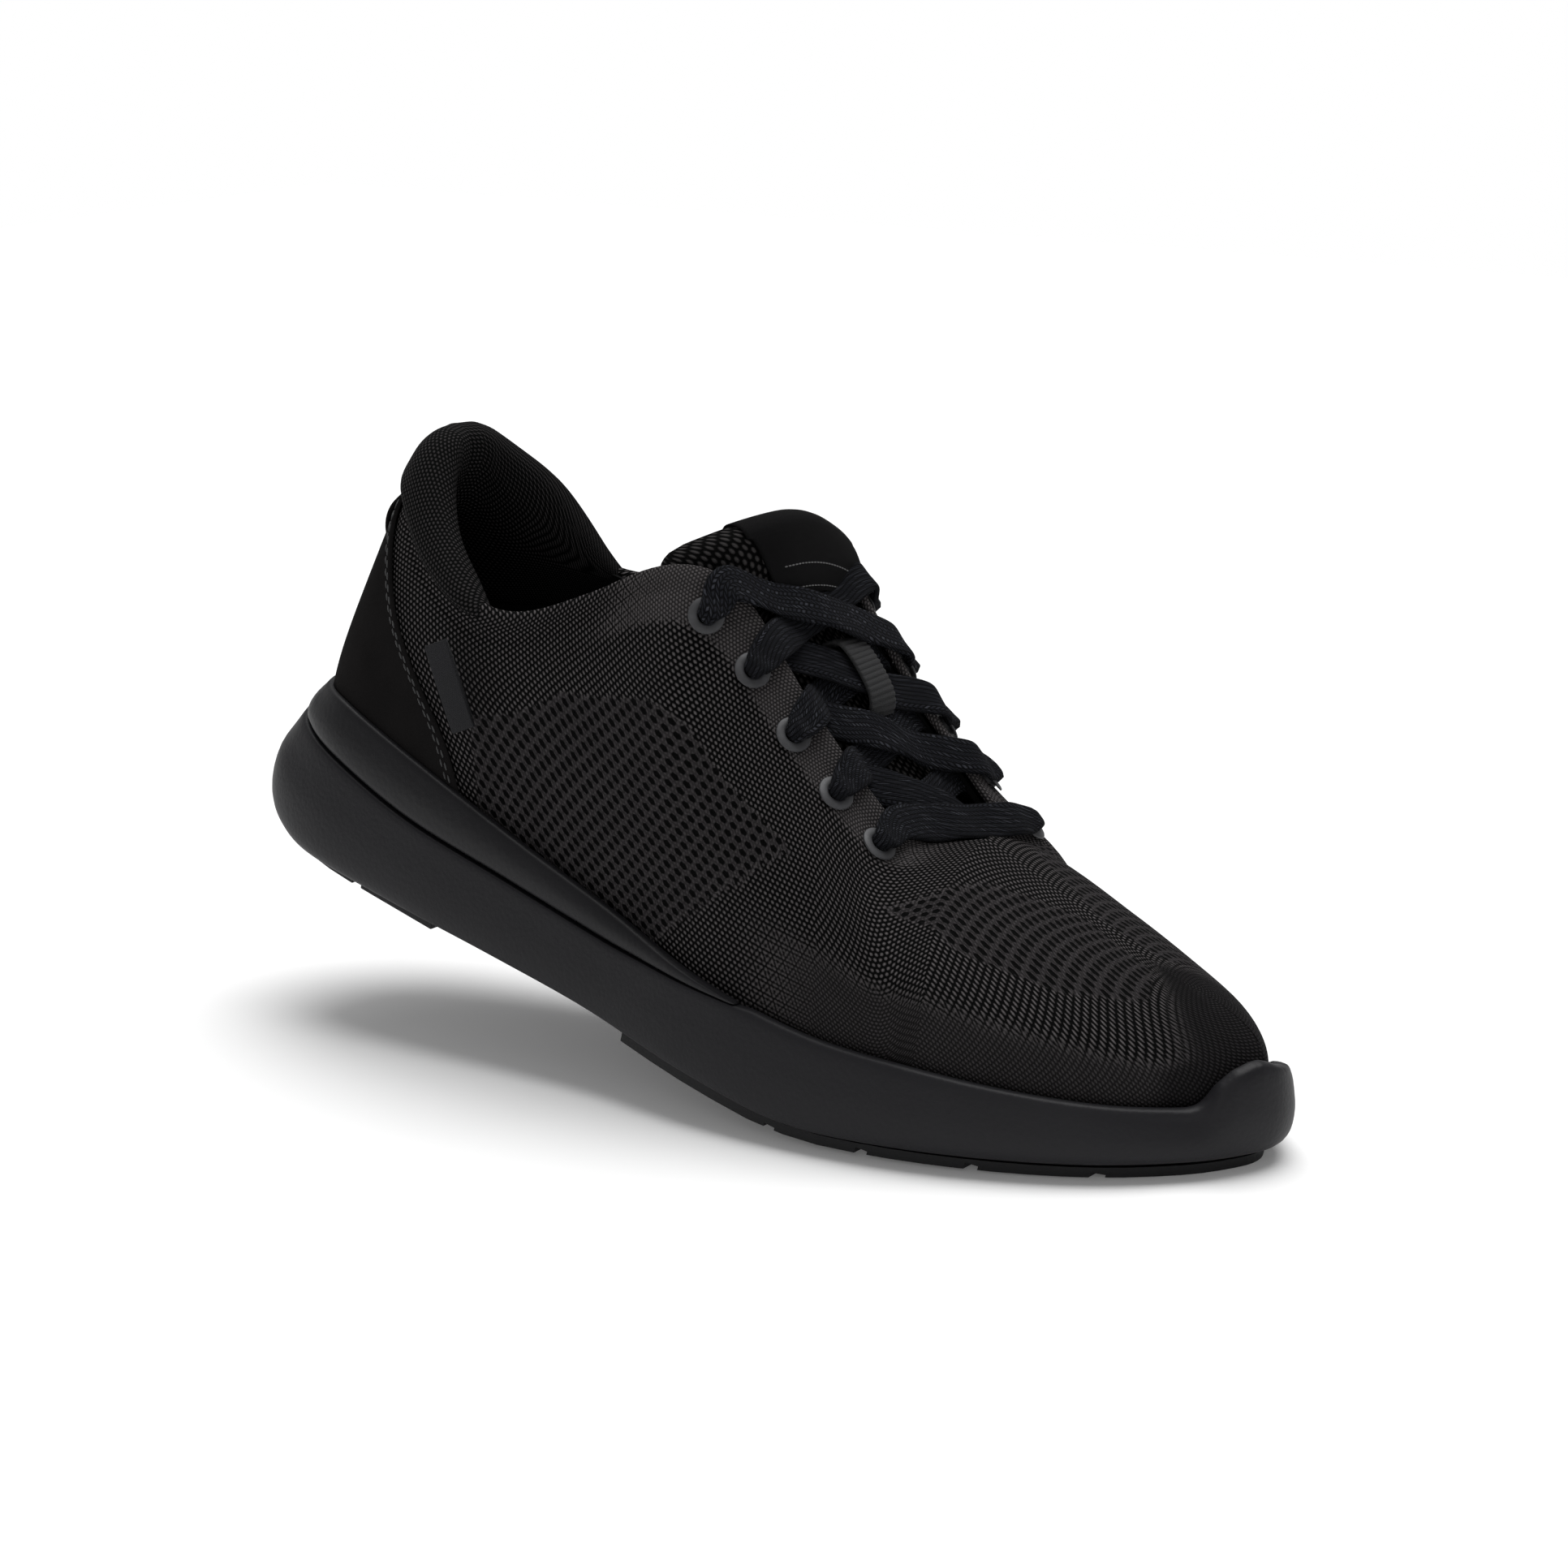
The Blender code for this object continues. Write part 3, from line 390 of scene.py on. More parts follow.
def mixColour(tree, share, a, b, blend="MIX"):
    node = tree.nodes.new("ShaderNodeMix")
    node.data_type = "RGBA"
    node.blend_type = blend
    for k, value in ((0, share), (6, a), (7, b)):
        feed(tree, node.inputs[k], value)
    return node.outputs[2]


def splitVector(tree, vector):
    node = tree.nodes.new("ShaderNodeSeparateXYZ")
    tree.links.new(vector, node.inputs[0])
    return node.outputs[0], node.outputs[1]


def joinVector(tree, x, y):
    node = tree.nodes.new("ShaderNodeCombineXYZ")
    feed(tree, node.inputs[0], x)
    feed(tree, node.inputs[1], y)
    return node.outputs[0]


def noiseValue(tree, vector, scale, detail=2.0, roughness=0.5):
    node = tree.nodes.new("ShaderNodeTexNoise")
    node.inputs["Scale"].default_value = scale
    node.inputs["Detail"].default_value = detail
    node.inputs["Roughness"].default_value = roughness
    tree.links.new(vector, node.inputs["Vector"])
    return node.outputs[0]


def beadGroup():
    # staggered rows of beads: 1 on a bead's crown, 0 in the pits between them
    group, source, target = newGroup(
        "staggeredBeads", [("Vector", "NodeSocketVector", None), ("Pitch", "NodeSocketFloat", 1.4),
                           ("Row", "NodeSocketFloat", 1.0), ("Stagger", "NodeSocketFloat", 0.5)],
        [("Height", "NodeSocketFloat"), ("Pit", "NodeSocketFloat")])
    x, y = splitVector(group, source.outputs["Vector"])
    rows = calc(group, "DIVIDE", y, source.outputs["Row"])
    row = calc(group, "FLOOR", rows)
    fy = calc(group, "SUBTRACT", calc(group, "SUBTRACT", rows, row), 0.5)
    odd = calc(group, "FLOORED_MODULO", row, 2.0)
    shift = calc(group, "MULTIPLY", odd, source.outputs["Stagger"])
    columns = calc(group, "ADD", calc(group, "DIVIDE", x, source.outputs["Pitch"]), shift)
    fx = calc(group, "SUBTRACT", calc(group, "FRACT", columns), 0.5)
    square = calc(group, "ADD", calc(group, "MULTIPLY", fx, fx), calc(group, "MULTIPLY", fy, fy))
    distance = calc(group, "MULTIPLY", calc(group, "SQRT", square), 2.0)
    height = ramp(group, distance, 1.0, 0.2)
    group.links.new(height, target.inputs["Height"])
    group.links.new(ramp(group, distance, 0.84, 0.42), target.inputs["Pit"])
    return group


def twillGroup():
    # slanting woven lines that run over and under
    group, source, target = newGroup(
        "wovenLines", [("Vector", "NodeSocketVector", None), ("Pitch", "NodeSocketFloat", 0.6),
                       ("Slant", "NodeSocketFloat", 0.5)], [("Height", "NodeSocketFloat")])
    x, y = splitVector(group, source.outputs["Vector"])
    line = calc(group, "DIVIDE", calc(group, "ADD", x, calc(group, "MULTIPLY", y, source.outputs["Slant"])),
                 source.outputs["Pitch"])
    wave = calc(group, "SINE", calc(group, "MULTIPLY", line, 2 * math.pi))
    slanted = calc(group, "MULTIPLY", x, source.outputs["Slant"])
    cross = calc(group, "DIVIDE", calc(group, "SUBTRACT", y, slanted), source.outputs["Pitch"])
    second = calc(group, "SINE", calc(group, "MULTIPLY", cross, 2 * math.pi))
    both = calc(group, "MULTIPLY_ADD", calc(group, "MULTIPLY", wave, second), 0.35, 0.5)
    group.links.new(calc(group, "MULTIPLY_ADD", wave, 0.15, both, clamp=True), target.inputs["Height"])
    return group


def braidGroup():
    # flat braid: chevrons that meet on the lace's middle line, with fine lengthwise columns
    group, source, target = newGroup(
        "flatBraid", [("Vector", "NodeSocketVector", None), ("Pitch", "NodeSocketFloat", 1.5),
                      ("Column", "NodeSocketFloat", 1.15)],
        [("Height", "NodeSocketFloat"), ("Fleck", "NodeSocketFloat")])
    x, y = splitVector(group, source.outputs["Vector"])
    columns = calc(group, "DIVIDE", y, source.outputs["Column"])
    zig = calc(group, "PINGPONG", columns, 1.0)
    along = calc(group, "MULTIPLY_ADD", zig, 0.8, calc(group, "DIVIDE", x, source.outputs["Pitch"]))
    strand = calc(group, "ABSOLUTE", calc(group, "SUBTRACT", calc(group, "FRACT", along), 0.5))
    groove = calc(group, "ABSOLUTE", calc(group, "SUBTRACT", calc(group, "FRACT", columns), 0.5))
    height = calc(group, "MULTIPLY", ramp(group, strand, 0.5, 0.1), ramp(group, groove, 0.5, 0.2))
    group.links.new(height, target.inputs["Height"])
    spot = joinVector(group, calc(group, "FLOOR", along), calc(group, "FLOOR", columns))
    fleck = group.nodes.new("ShaderNodeTexWhiteNoise")
    fleck.noise_dimensions = "2D"
    group.links.new(spot, fleck.inputs["Vector"])
    group.links.new(fleck.outputs["Value"], target.inputs["Fleck"])
    return group


def fibreGroup():
    # short random hairs and cloudy wear, for cloth
    group, source, target = newGroup(
        "fibreNoise", [("Vector", "NodeSocketVector", None), ("Scale", "NodeSocketFloat", 1.0)],
        [("Fine", "NodeSocketFloat"), ("Cloud", "NodeSocketFloat")])
    scaled = group.nodes.new("ShaderNodeVectorMath")
    scaled.operation = "SCALE"
    group.links.new(source.outputs["Vector"], scaled.inputs[0])
    group.links.new(source.outputs["Scale"], scaled.inputs["Scale"])
    group.links.new(noiseValue(group, scaled.outputs[0], 5.0, 3.0, 0.7), target.inputs["Fine"])
    group.links.new(noiseValue(group, scaled.outputs[0], 0.12, 2.0), target.inputs["Cloud"])
    return group


def pebbleGroup():
    # moulded skin: rounded cells of two sizes
    group, source, target = newGroup(
        "pebbleSkin", [("Vector", "NodeSocketVector", None), ("Scale", "NodeSocketFloat", 900.0)],
        [("Height", "NodeSocketFloat"), ("Cloud", "NodeSocketFloat")])
    cells = group.nodes.new("ShaderNodeTexVoronoi")
    cells.feature = "SMOOTH_F1"
    group.links.new(source.outputs["Vector"], cells.inputs["Vector"])
    group.links.new(source.outputs["Scale"], cells.inputs["Scale"])
    fine = noiseValue(group, source.outputs["Vector"], 2600.0, 2.0, 0.6)
    height = calc(group, "MULTIPLY_ADD", fine, 0.5, calc(group, "SUBTRACT", 1.0, cells.outputs["Distance"]))
    group.links.new(height, target.inputs["Height"])
    group.links.new(noiseValue(group, source.outputs["Vector"], 22.0, 3.0), target.inputs["Cloud"])
    return group


groups = {"beads": beadGroup(), "twill": twillGroup(), "braid": braidGroup(), "fibre": fibreGroup(),
          "pebble": pebbleGroup()}


def newMaterial(name, **sockets):
    material = bpy.data.materials.new(name)
    material.use_nodes = True
    shader = material.node_tree.nodes["Principled BSDF"]
    for label, value in sockets.items():
        shader.inputs[label.replace("_", " ")].default_value = value
    return material, material.node_tree, shader


def placeGroup(tree, key, vector, **values):
    node = tree.nodes.new("ShaderNodeGroup")
    node.node_tree = groups[key]
    tree.links.new(vector, node.inputs["Vector"])
    for label, value in values.items():
        node.inputs[label].default_value = value
    return node.outputs


def clothCoords(tree):
    return tree.nodes.new("ShaderNodeUVMap").outputs[0]


def objectCoords(tree):
    return tree.nodes.new("ShaderNodeTexCoord").outputs["Object"]


def bumpTo(tree, shader, height, distance, strength=1.0):
    bump = tree.nodes.new("ShaderNodeBump")
    bump.inputs["Strength"].default_value = strength
    bump.inputs["Distance"].default_value = distance
    tree.links.new(height, bump.inputs["Height"])
    tree.links.new(bump.outputs[0], shader.inputs["Normal"])


def dress(tree, shader, colour, height, distance, strength):
    tree.links.new(colour, shader.inputs["Base Color"])
    bumpTo(tree, shader, height, distance, strength)


def attribute(tree, name):
    node = tree.nodes.new("ShaderNodeAttribute")
    node.attribute_name = name
    return node.outputs["Fac"]


# knit colours: deep, near black, is painted shade in the pits between beads and the dark inside seen through
# the mesh's holes; crest is a painted highlight on the beads' crowns
knitLook = {"yarn": (0.1330, 0.1225, 0.1240), "deep": (0.0010, 0.0010, 0.0011),
            "crest": (0.240, 0.224, 0.227), "bead": (1.65, 1.3), "plain": (1.15, 0.95), "mesh": (3.6, 2.55),
            "meshTone": (0.45, 0.445, 0.455),
            "toeTone": (0.22, 0.22, 0.23), "fade": (0.7, 0.7, 0.7)}


def knitMaterial():
    material, tree, shader = newMaterial("knitCloth", Roughness=0.75, Specular_IOR_Level=0.05)
    coords = clothCoords(tree)
    bead = placeGroup(tree, "beads", coords, Pitch=knitLook["bead"][0], Row=knitLook["bead"][1])
    plain = placeGroup(tree, "beads", coords, Pitch=knitLook["plain"][0], Row=knitLook["plain"][1])
    mesh = placeGroup(tree, "beads", coords, Pitch=knitLook["mesh"][0], Row=knitLook["mesh"][1])
    yarn = placeGroup(tree, "beads", coords, Pitch=knitLook["mesh"][0] / 3, Row=knitLook["mesh"][1] / 2)
    fibre = placeGroup(tree, "fibre", coords, Scale=0.9)
    denseShare = attribute(tree, "plainZone")
    meshShare = attribute(tree, "meshZone")
    flatter = calc(tree, "MULTIPLY_ADD", plain["Height"], 0.55, 0.3)
    relief = mixValue(tree, denseShare, bead["Height"], flatter)
    openWork = calc(tree, "MULTIPLY", calc(tree, "SUBTRACT", 1.0, mesh["Pit"]),
                     calc(tree, "MULTIPLY_ADD", yarn["Height"], 0.55, 0.45))
    relief = mixValue(tree, meshShare, relief, openWork)
    relief = calc(tree, "MULTIPLY_ADD", calc(tree, "SUBTRACT", fibre["Fine"], 0.5), 0.35, relief)
    # low relief is painted towards deep: painted shade in the pits between beads, and the dark inside where
    # the mesh is open
    shade = ramp(tree, relief, 0.12, 0.76)
    colour = mixColour(tree, shade, knitLook["deep"], knitLook["yarn"])
    # the highest relief is painted towards crest: a painted highlight on the beads' crowns
    colour = mixColour(tree, ramp(tree, calc(tree, "MULTIPLY", relief, fibre["Fine"]), 0.45, 0.8), colour,
                       knitLook["crest"])
    faded = mixColour(tree, 1.0, colour, knitLook["fade"], "MULTIPLY")
    colour = mixColour(tree, fibre["Cloud"], colour, faded)
    meshTone = mixColour(tree, 1.0, colour, knitLook["meshTone"], "MULTIPLY")
    colour = mixColour(tree, meshShare, colour, meshTone)
    dark = mixColour(tree, 1.0, colour, knitLook["toeTone"], "MULTIPLY")
    colour = mixColour(tree, attribute(tree, "toeShade"), colour, dark)
    dress(tree, shader, colour, relief, 0.0009, 1.0)
    return material


def meshCloth(name, yarn, deep, pitch, row, depth, roughness=0.75):
    material, tree, shader = newMaterial(name, Roughness=roughness, Specular_IOR_Level=0.05)
    coords = clothCoords(tree)
    beads = placeGroup(tree, "beads", coords, Pitch=pitch, Row=row)
    fibre = placeGroup(tree, "fibre", coords, Scale=0.9)
    relief = calc(tree, "MULTIPLY_ADD", fibre["Fine"], 0.3, beads["Height"])
    # low relief is painted towards deep: painted shade in the pits between the beads, and on the spacer mesh
    # the dark inside seen through its holes
    colour = mixColour(tree, ramp(tree, relief, 0.2, 0.95), deep, yarn)
    faded = mixColour(tree, 1.0, colour, (0.75, 0.75, 0.75), "MULTIPLY")
    colour = mixColour(tree, fibre["Cloud"], colour, faded)
    dress(tree, shader, colour, relief, depth, 0.9)
    return material


def wovenMaterial(name, light, dark, pitch, slant, depth, roughness, sheen=0.02):
    material, tree, shader = newMaterial(name, Roughness=roughness, Sheen_Weight=sheen,
                                         Specular_IOR_Level=0.05)
    coords = clothCoords(tree)
    twill = placeGroup(tree, "twill", coords, Pitch=pitch, Slant=slant)
    fibre = placeGroup(tree, "fibre", coords, Scale=1.2)
    relief = calc(tree, "MULTIPLY_ADD", fibre["Fine"], 0.25, twill["Height"])
    colour = mixColour(tree, ramp(tree, relief, 0.2, 0.9), dark, light)
    dress(tree, shader, colour, relief, depth, 0.8)
    return material


def laceMaterial():
    material, tree, shader = newMaterial("laceBraid", Roughness=0.85, Sheen_Weight=0.01, Sheen_Roughness=0.6,
                                         Specular_IOR_Level=0.06)
    coords = clothCoords(tree)
    braid = placeGroup(tree, "braid", coords)
    fibre = placeGroup(tree, "fibre", coords, Scale=1.6)
    relief = calc(tree, "MULTIPLY_ADD", fibre["Fine"], 0.45, braid["Height"])
    colour = mixColour(tree, ramp(tree, relief, 0.1, 1.1), (0.0010, 0.0011, 0.0015),
                       (0.0150, 0.0158, 0.0205))
    flecks = calc(tree, "MULTIPLY", ramp(tree, braid["Fleck"], 0.62, 0.95), ramp(tree, relief, 0.5, 1.2))
    colour = mixColour(tree, flecks, colour, (0.045, 0.047, 0.057))
    dress(tree, shader, colour, relief, 0.0005, 0.9)
    return material


def foamMaterial(name, base, high, roughness, scale=900.0, gloss=0.2):
    material, tree, shader = newMaterial(name, Specular_IOR_Level=gloss)
    coords = objectCoords(tree)
    pebble = placeGroup(tree, "pebble", coords, Scale=scale)
    colour = mixColour(tree, ramp(tree, pebble["Cloud"], 0.3, 0.7), base, high)
    tree.links.new(colour, shader.inputs["Base Color"])
    uneven = calc(tree, "MULTIPLY_ADD", pebble["Cloud"], 0.12, roughness - 0.06)
    tree.links.new(uneven, shader.inputs["Roughness"])
    bumpTo(tree, shader, pebble["Height"], 0.00012, 0.55)
    return material


def suedeMaterial():
    material, tree, shader = newMaterial("suede", Roughness=0.95, Specular_IOR_Level=0.03)
    coords = objectCoords(tree)
    nap = noiseValue(tree, coords, 1900.0, 3.0, 0.7)
    cloud = noiseValue(tree, coords, 60.0, 3.0)
    colour = mixColour(tree, ramp(tree, cloud, 0.3, 0.7), (0.0062, 0.0058, 0.0058),
                       (0.0092, 0.0085, 0.0086))
    tree.links.new(mixColour(tree, calc(tree, "MULTIPLY", nap, 0.6), colour, (0.0125, 0.0115, 0.0115)),
                   shader.inputs["Base Color"])
    bumpTo(tree, shader, nap, 0.0002, 0.5)
    return material


def paintMaterial():
    material, tree, shader = newMaterial("eyeletPaint", Metallic=0.25, Specular_IOR_Level=0.5)
    coords = objectCoords(tree)
    grain = noiseValue(tree, coords, 1400.0, 2.0)
    worn = noiseValue(tree, coords, 160.0, 3.0)
    colour = mixColour(tree, ramp(tree, worn, 0.35, 0.7), (0.040, 0.040, 0.043), (0.062, 0.063, 0.067))
    tree.links.new(colour, shader.inputs["Base Color"])
    tree.links.new(calc(tree, "MULTIPLY_ADD", grain, 0.2, 0.42), shader.inputs["Roughness"])
    bumpTo(tree, shader, grain, 0.00005, 0.4)
    return material


def threadMaterial(name, colour):
    material, tree, shader = newMaterial(name, Roughness=0.6, Sheen_Weight=0.1)
    coords = objectCoords(tree)
    twist = noiseValue(tree, coords, 3000.0, 2.0)
    mottled = mixColour(tree, twist, tuple(c * 0.6 for c in colour), colour)
    tree.links.new(mottled, shader.inputs["Base Color"])
    bumpTo(tree, shader, twist, 0.0001, 0.5)
    return material


knit = knitMaterial()
# the second colour of each cloth is its painted shade in the pits between the beads
rollCloth = meshCloth("collarKnit", (0.0480, 0.0445, 0.0452), (0.0010, 0.0012, 0.0012), 1.3, 1.1, 0.0006)
spacerMesh = meshCloth("spacerMesh", (0.0580, 0.0540, 0.0540), (0.0008, 0.0008, 0.0008), 2.4, 1.75, 0.0009)
liningCloth = foamMaterial("liningCloth", (0.004, 0.004, 0.0042), (0.006, 0.006, 0.006), 0.95, 1100.0, 0.08)
insoleCloth = foamMaterial("insoleCloth", (0.005, 0.005, 0.0055), (0.008, 0.008, 0.0085), 0.95, 1300.0, 0.1)
suede = suedeMaterial()
foam = foamMaterial("soleFoam", (0.0092, 0.0088, 0.0106), (0.0122, 0.0118, 0.0138), 0.5)
foamBand = foamMaterial("bandFoam", (0.0075, 0.0073, 0.0085), (0.0100, 0.0097, 0.0112), 0.45, 700.0)
rubber = foamMaterial("outsoleRubber", (0.0085, 0.0085, 0.0095), (0.0120, 0.0120, 0.0130), 0.6, 500.0, 0.25)
board = foamMaterial("innerBoard", (0.03, 0.03, 0.03), (0.045, 0.045, 0.045), 0.9, 1500.0)
laceCloth = laceMaterial()
eyeletPaint = paintMaterial()
ribTape = wovenMaterial("ribTape", (0.055, 0.055, 0.056), (0.018, 0.018, 0.019), 0.42, 0.0, 0.0002, 0.6)
flagTwill = wovenMaterial("flagTwill", (0.027, 0.027, 0.029), (0.008, 0.008, 0.009), 0.55, 0.55, 0.0002, 0.65)
satin = wovenMaterial("labelSatin", (0.0065, 0.0062, 0.0067), (0.0018, 0.0018, 0.0018), 0.38, 0.9, 0.00012,
                      0.7, 0.0)
darkThread = threadMaterial("darkThread", (0.030, 0.030, 0.031))
greyThread = threadMaterial("greyThread", (0.13, 0.13, 0.13))
print("finishes made")


# knitted upper

upperLook = {"columnsPerStation": 12, "rows": 58, "foldRadius": 1.9, "stayRadius": 1.1, "foldDepth": 8.0,
             "tuck": 6.0,
             "meshZones": [[(4.3, 0.46), (5.25, 0.66), (6.2, 0.62), (7.0, 0.5), (7.75, 0.5), (7.25, 0.3),
                            (6.3, 0.0), (4.6, 0.0)],
                           [(8.7, 0.62), (9.3, 0.84), (10.4, 0.97), (11.6, 0.9), (11.3, 0.64), (10.2, 0.5),
                            (9.2, 0.5)]]}


def polygonShare(corners, s, v, soft):
    # 1 inside the outline, 0 outside, in the plane of station and rise
    scale = np.array([1.0, 4.5])
    corners = np.array(corners) * scale
    p = np.stack([s, v * scale[1]], axis=-1)
    inside = np.zeros(s.shape, bool)
    nearest = np.full(s.shape, 1e9)
    for a, b in zip(corners, np.roll(corners, -1, axis=0)):
        crosses = (a[1] > p[..., 1]) != (b[1] > p[..., 1])
        with np.errstate(divide="ignore", invalid="ignore"):
            edge = a[0] + (b[0] - a[0]) * (p[..., 1] - a[1]) / (b[1] - a[1])
        inside ^= crosses & (p[..., 0] < edge)
        f = np.clip(((p - a) @ (b - a)) / ((b - a) @ (b - a)), 0, 1)
        nearest = np.minimum(nearest, np.linalg.norm(p - (a + f[..., None] * (b - a)), axis=-1))
    return smoothStep(-soft, soft, np.where(inside, nearest, -nearest))


def buildUpper():
    count = 14 * upperLook["columnsPerStation"]
    stations = np.linspace(-14, 14, 2 * count + 1)
    rises = np.linspace(0, 1, upperLook["rows"])
    wall = np.array([wallCurve(sideOf(s), abs(s), rises) for s in stations])
    normals = gridNormals(wall)
    # the two sides share their points on the vamp's middle line, so they share a normal there
    mirror = np.arange(len(stations))[::-1]
    onRidge = np.abs(stations) >= 9
    shared = unit(normals[:, -1] + normals[mirror, -1])
    normals[onRidge, -1] = shared[onRidge]
    up = unit(wall[:, -1] - wall[:, -3])
    fromTop = arcLengths(wall[:, ::-1], 1)[:, ::-1]
    sGrid, vGrid = np.meshgrid(np.abs(stations), rises, indexing="ij")
    # folded top edge: a soft swelling, then the sewn crease below it
    openTop = 1 - smoothStep(8.6, 9.0, sGrid)
    stay = smoothStep(6.2, 6.9, sGrid)
    fold = openTop * ((0.55 - 0.35 * stay) * np.exp(-((fromTop - 2.0) / 2.2)**2)
                      - 0.35 * np.exp(-((fromTop - 6.2) / 0.9)**2))
    soft = 0.35 * np.sin(wall[..., 0] / 17.0 + 0.9) * np.sin(wall[..., 2] / 13.0 + wall[..., 1] / 29.0)
    soft = soft * smoothStep(0.05, 0.3, vGrid) * (1 - smoothStep(0.8, 1.0, vGrid))
    wall = wall + normals * (fold + soft)[..., None]
    slim = stay[:, [0]]
    radius = upperLook["foldRadius"] + (upperLook["stayRadius"] - upperLook["foldRadius"]) * slim
    radius = radius * (1 - smoothStep(8.75, 9.0, np.abs(stations)))[:, None]
    away = normals[:, -1]
    turned = [wall[:, -1] - away * radius * (1 - math.cos(a)) + up * radius * math.sin(a)
              for a in np.linspace(0, math.pi, 7)[1:]]
    depth = upperLook["foldDepth"] * radius / upperLook["foldRadius"]
    turned += [turned[-1] - up * depth * f for f in (0.3, 0.65, 1.0)]
    tuck = [wall[:, 0] - np.array([0, 0, upperLook["tuck"]]) * f for f in (1.0, 0.5)]
    points = np.concatenate([np.stack(tuck, 1), wall, np.stack(turned, 1)], axis=1)
    # cloth coordinates: along the shoe, and down from the top edge or the vamp's middle line
    runs = arcLengths(points, 0)
    for half, anchor in ((slice(0, count + 1), -7), (slice(count, None), 7)):
        column = int(np.argmin(np.abs(stations - anchor)))
        shift = runs[column] - runs[column, upperLook["rows"] // 2]
        runs[half] = runs[half] - shift
    # rows run along the sole at the side and along the middle line on the vamp
    down = arcLengths(points, 1)
    tall = (down[:, len(tuck) + len(rises) - 1] - down[:, len(tuck)])
    level = np.where(stations < 0, np.interp(-8.0, stations, tall), np.interp(8.0, stations, tall))
    level = level + 3.5 * np.clip(8 - np.abs(stations), 0, 3)
    level = np.where(np.abs(stations) >= 8, tall, level)
    down = down - down[:, [len(tuck)]] - level[:, None]
    down = np.where(stations[:, None] < 0, down, -down)
    uvs = np.stack([runs, down], axis=-1)
    # zones of the knit
    mesh = sum(polygonShare(zone, sGrid, vGrid, 0.05) for zone in upperLook["meshZones"])
    mesh = np.clip(mesh, 0, 1)
    dense = smoothStep(17.0, 13.0, fromTop) * openTop * smoothStep(5.2, 6.2, sGrid)
    rand = (1 - smoothStep(0.2, 0.34, vGrid)) * smoothStep(6.9, 8.2, sGrid)
    toe = smoothStep(11.3, 12.2, sGrid)
    dense = np.clip(dense + rand + toe, 0, 1) * (1 - mesh)
    extraLow, extraHigh = len(tuck), len(turned)

    def spread(mask):
        return np.pad(mask, ((0, 0), (extraLow, extraHigh)), mode="edge")

    bm = gridMesh(points, uvs, {"meshZone": spread(mesh), "plainZone": spread(dense),
                                "toeShade": spread(np.clip(rand * 0.7 + toe, 0, 1) * (1 - mesh))})
    # openings under the eyelets
    centres = [toRow(eyeletFrame(side, number)[0]) for side in (-1, 1) for number in range(1, 6)]
    gone = [f for f in bm.faces if min((f.calc_center_median() - c).length for c in centres) < 0.0031]
    bmesh.ops.delete(bm, geom=gone, context="FACES")
    weld(bm, 0.00001)
    faceAway(bm, lambda p: Vector((p.x, 0.0, 0.05)))
    bmesh.ops.smooth_vert(bm, verts=[v for v in bm.verts if v.co.x > 0.058 and v.co.z > 0.052], factor=0.5,
                          use_axis_x=True, use_axis_y=True, use_axis_z=True)
    makePiece(bm, "upperKnit", knit, "shoe",
              ("upper_knit", "eyestay_backing_lateral", "eyestay_backing_medial", "toe_puff"))


def eyeletFrame(side, number):
    first, last = form["eyeletStations"][side]
    station = first + (last - first) * (number - 1) / 4
    rise = np.linspace(1, 0.4, 121)
    path = wallCurve(side, station, rise)
    run = runAlong(path)
    v = float(np.interp(form["eyeletSetback"], run, rise))
    up = wallPoint(side, station, v + 0.01) - wallPoint(side, station, v - 0.01)
    along = wallPoint(side, station + 0.01, v) - wallPoint(side, station - 0.01, v)
    normal = unit(np.cross(along, up)) * -side
    if normal[2] < 0:
        normal = -normal
    return wallPoint(side, station, v), normal, unit(along), topPoint(side, station)


buildUpper()
print("upper made")

nodeCopy("lining", "liningSkin", liningCloth)
nodeCopy("insole", "insolePad", insoleCloth, "insole_body", 0.0006)
for node in ("strobel_board", "heel_counter"):
    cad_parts[node].data.materials.clear()
    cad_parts[node].data.materials.append(board)


# sole

soleLook = {"perStation": 8, "crown": 1.6, "cradleReach": 7.4}


def midsoleSection(side, station):
    x = edgePoint(side, station)[0]
    low = groundHeight(x) + 3.2
    rim = rimHeight(side, station)
    lean = rimInset(station)
    bed = keyed(form["bed"], station)
    band = 1 - float(smoothStep(7.4, 7.5, station))
    top = keyed(form["parting"], station) * band + rim * (1 - band)
    share = (top - low) / (rim - low)
    outer = min(lean, keyed(form["toeLean"], station)) * share**1.5
    crown = soleLook["crown"] * (1 - band)
    wide = low + 0.28 * (top - low)
    crest = (lean + form["rimWall"] - outer) * 0.3
    wall = lean + form["rimWall"]
    spots = [(16, low), (9, low), (4.2, low), (1.5, low + 1.0), (0.3, low + 3.4), (0, wide),
             (outer * 0.1, wide + (top - wide) * 0.3), (outer * 0.35, (wide + top) / 2),
             (outer * 0.66, wide + (top - wide) * 0.76), (outer * 0.92, top - crown),
             (outer + 0.35, top - crown * 0.35), (outer + crest, top), (wall - 0.4, top - 0.1),
             (wall, top - 0.6), (wall, bed)]
    return [at(side, station, *spot) for spot in spots]


def buildMidsole():
    stations = np.concatenate([np.linspace(0, 14, 14 * soleLook["perStation"] + 1),
                               np.linspace(12.0, 13.0, 17)])
    loops = []
    for s in sorted(set(np.round(stations, 3))):
        outer = [np.array(p) for p in midsoleSection(-1, s)]
        inner = [np.array(p) for p in midsoleSection(1, s)]
        loops.append(outer + inner[::-1] + [outer[0]])
    piece = makePiece(closedBody(np.array(loops)), "midsoleFoam", foam, "shoe", ("midsole",))
    roundOff(piece)


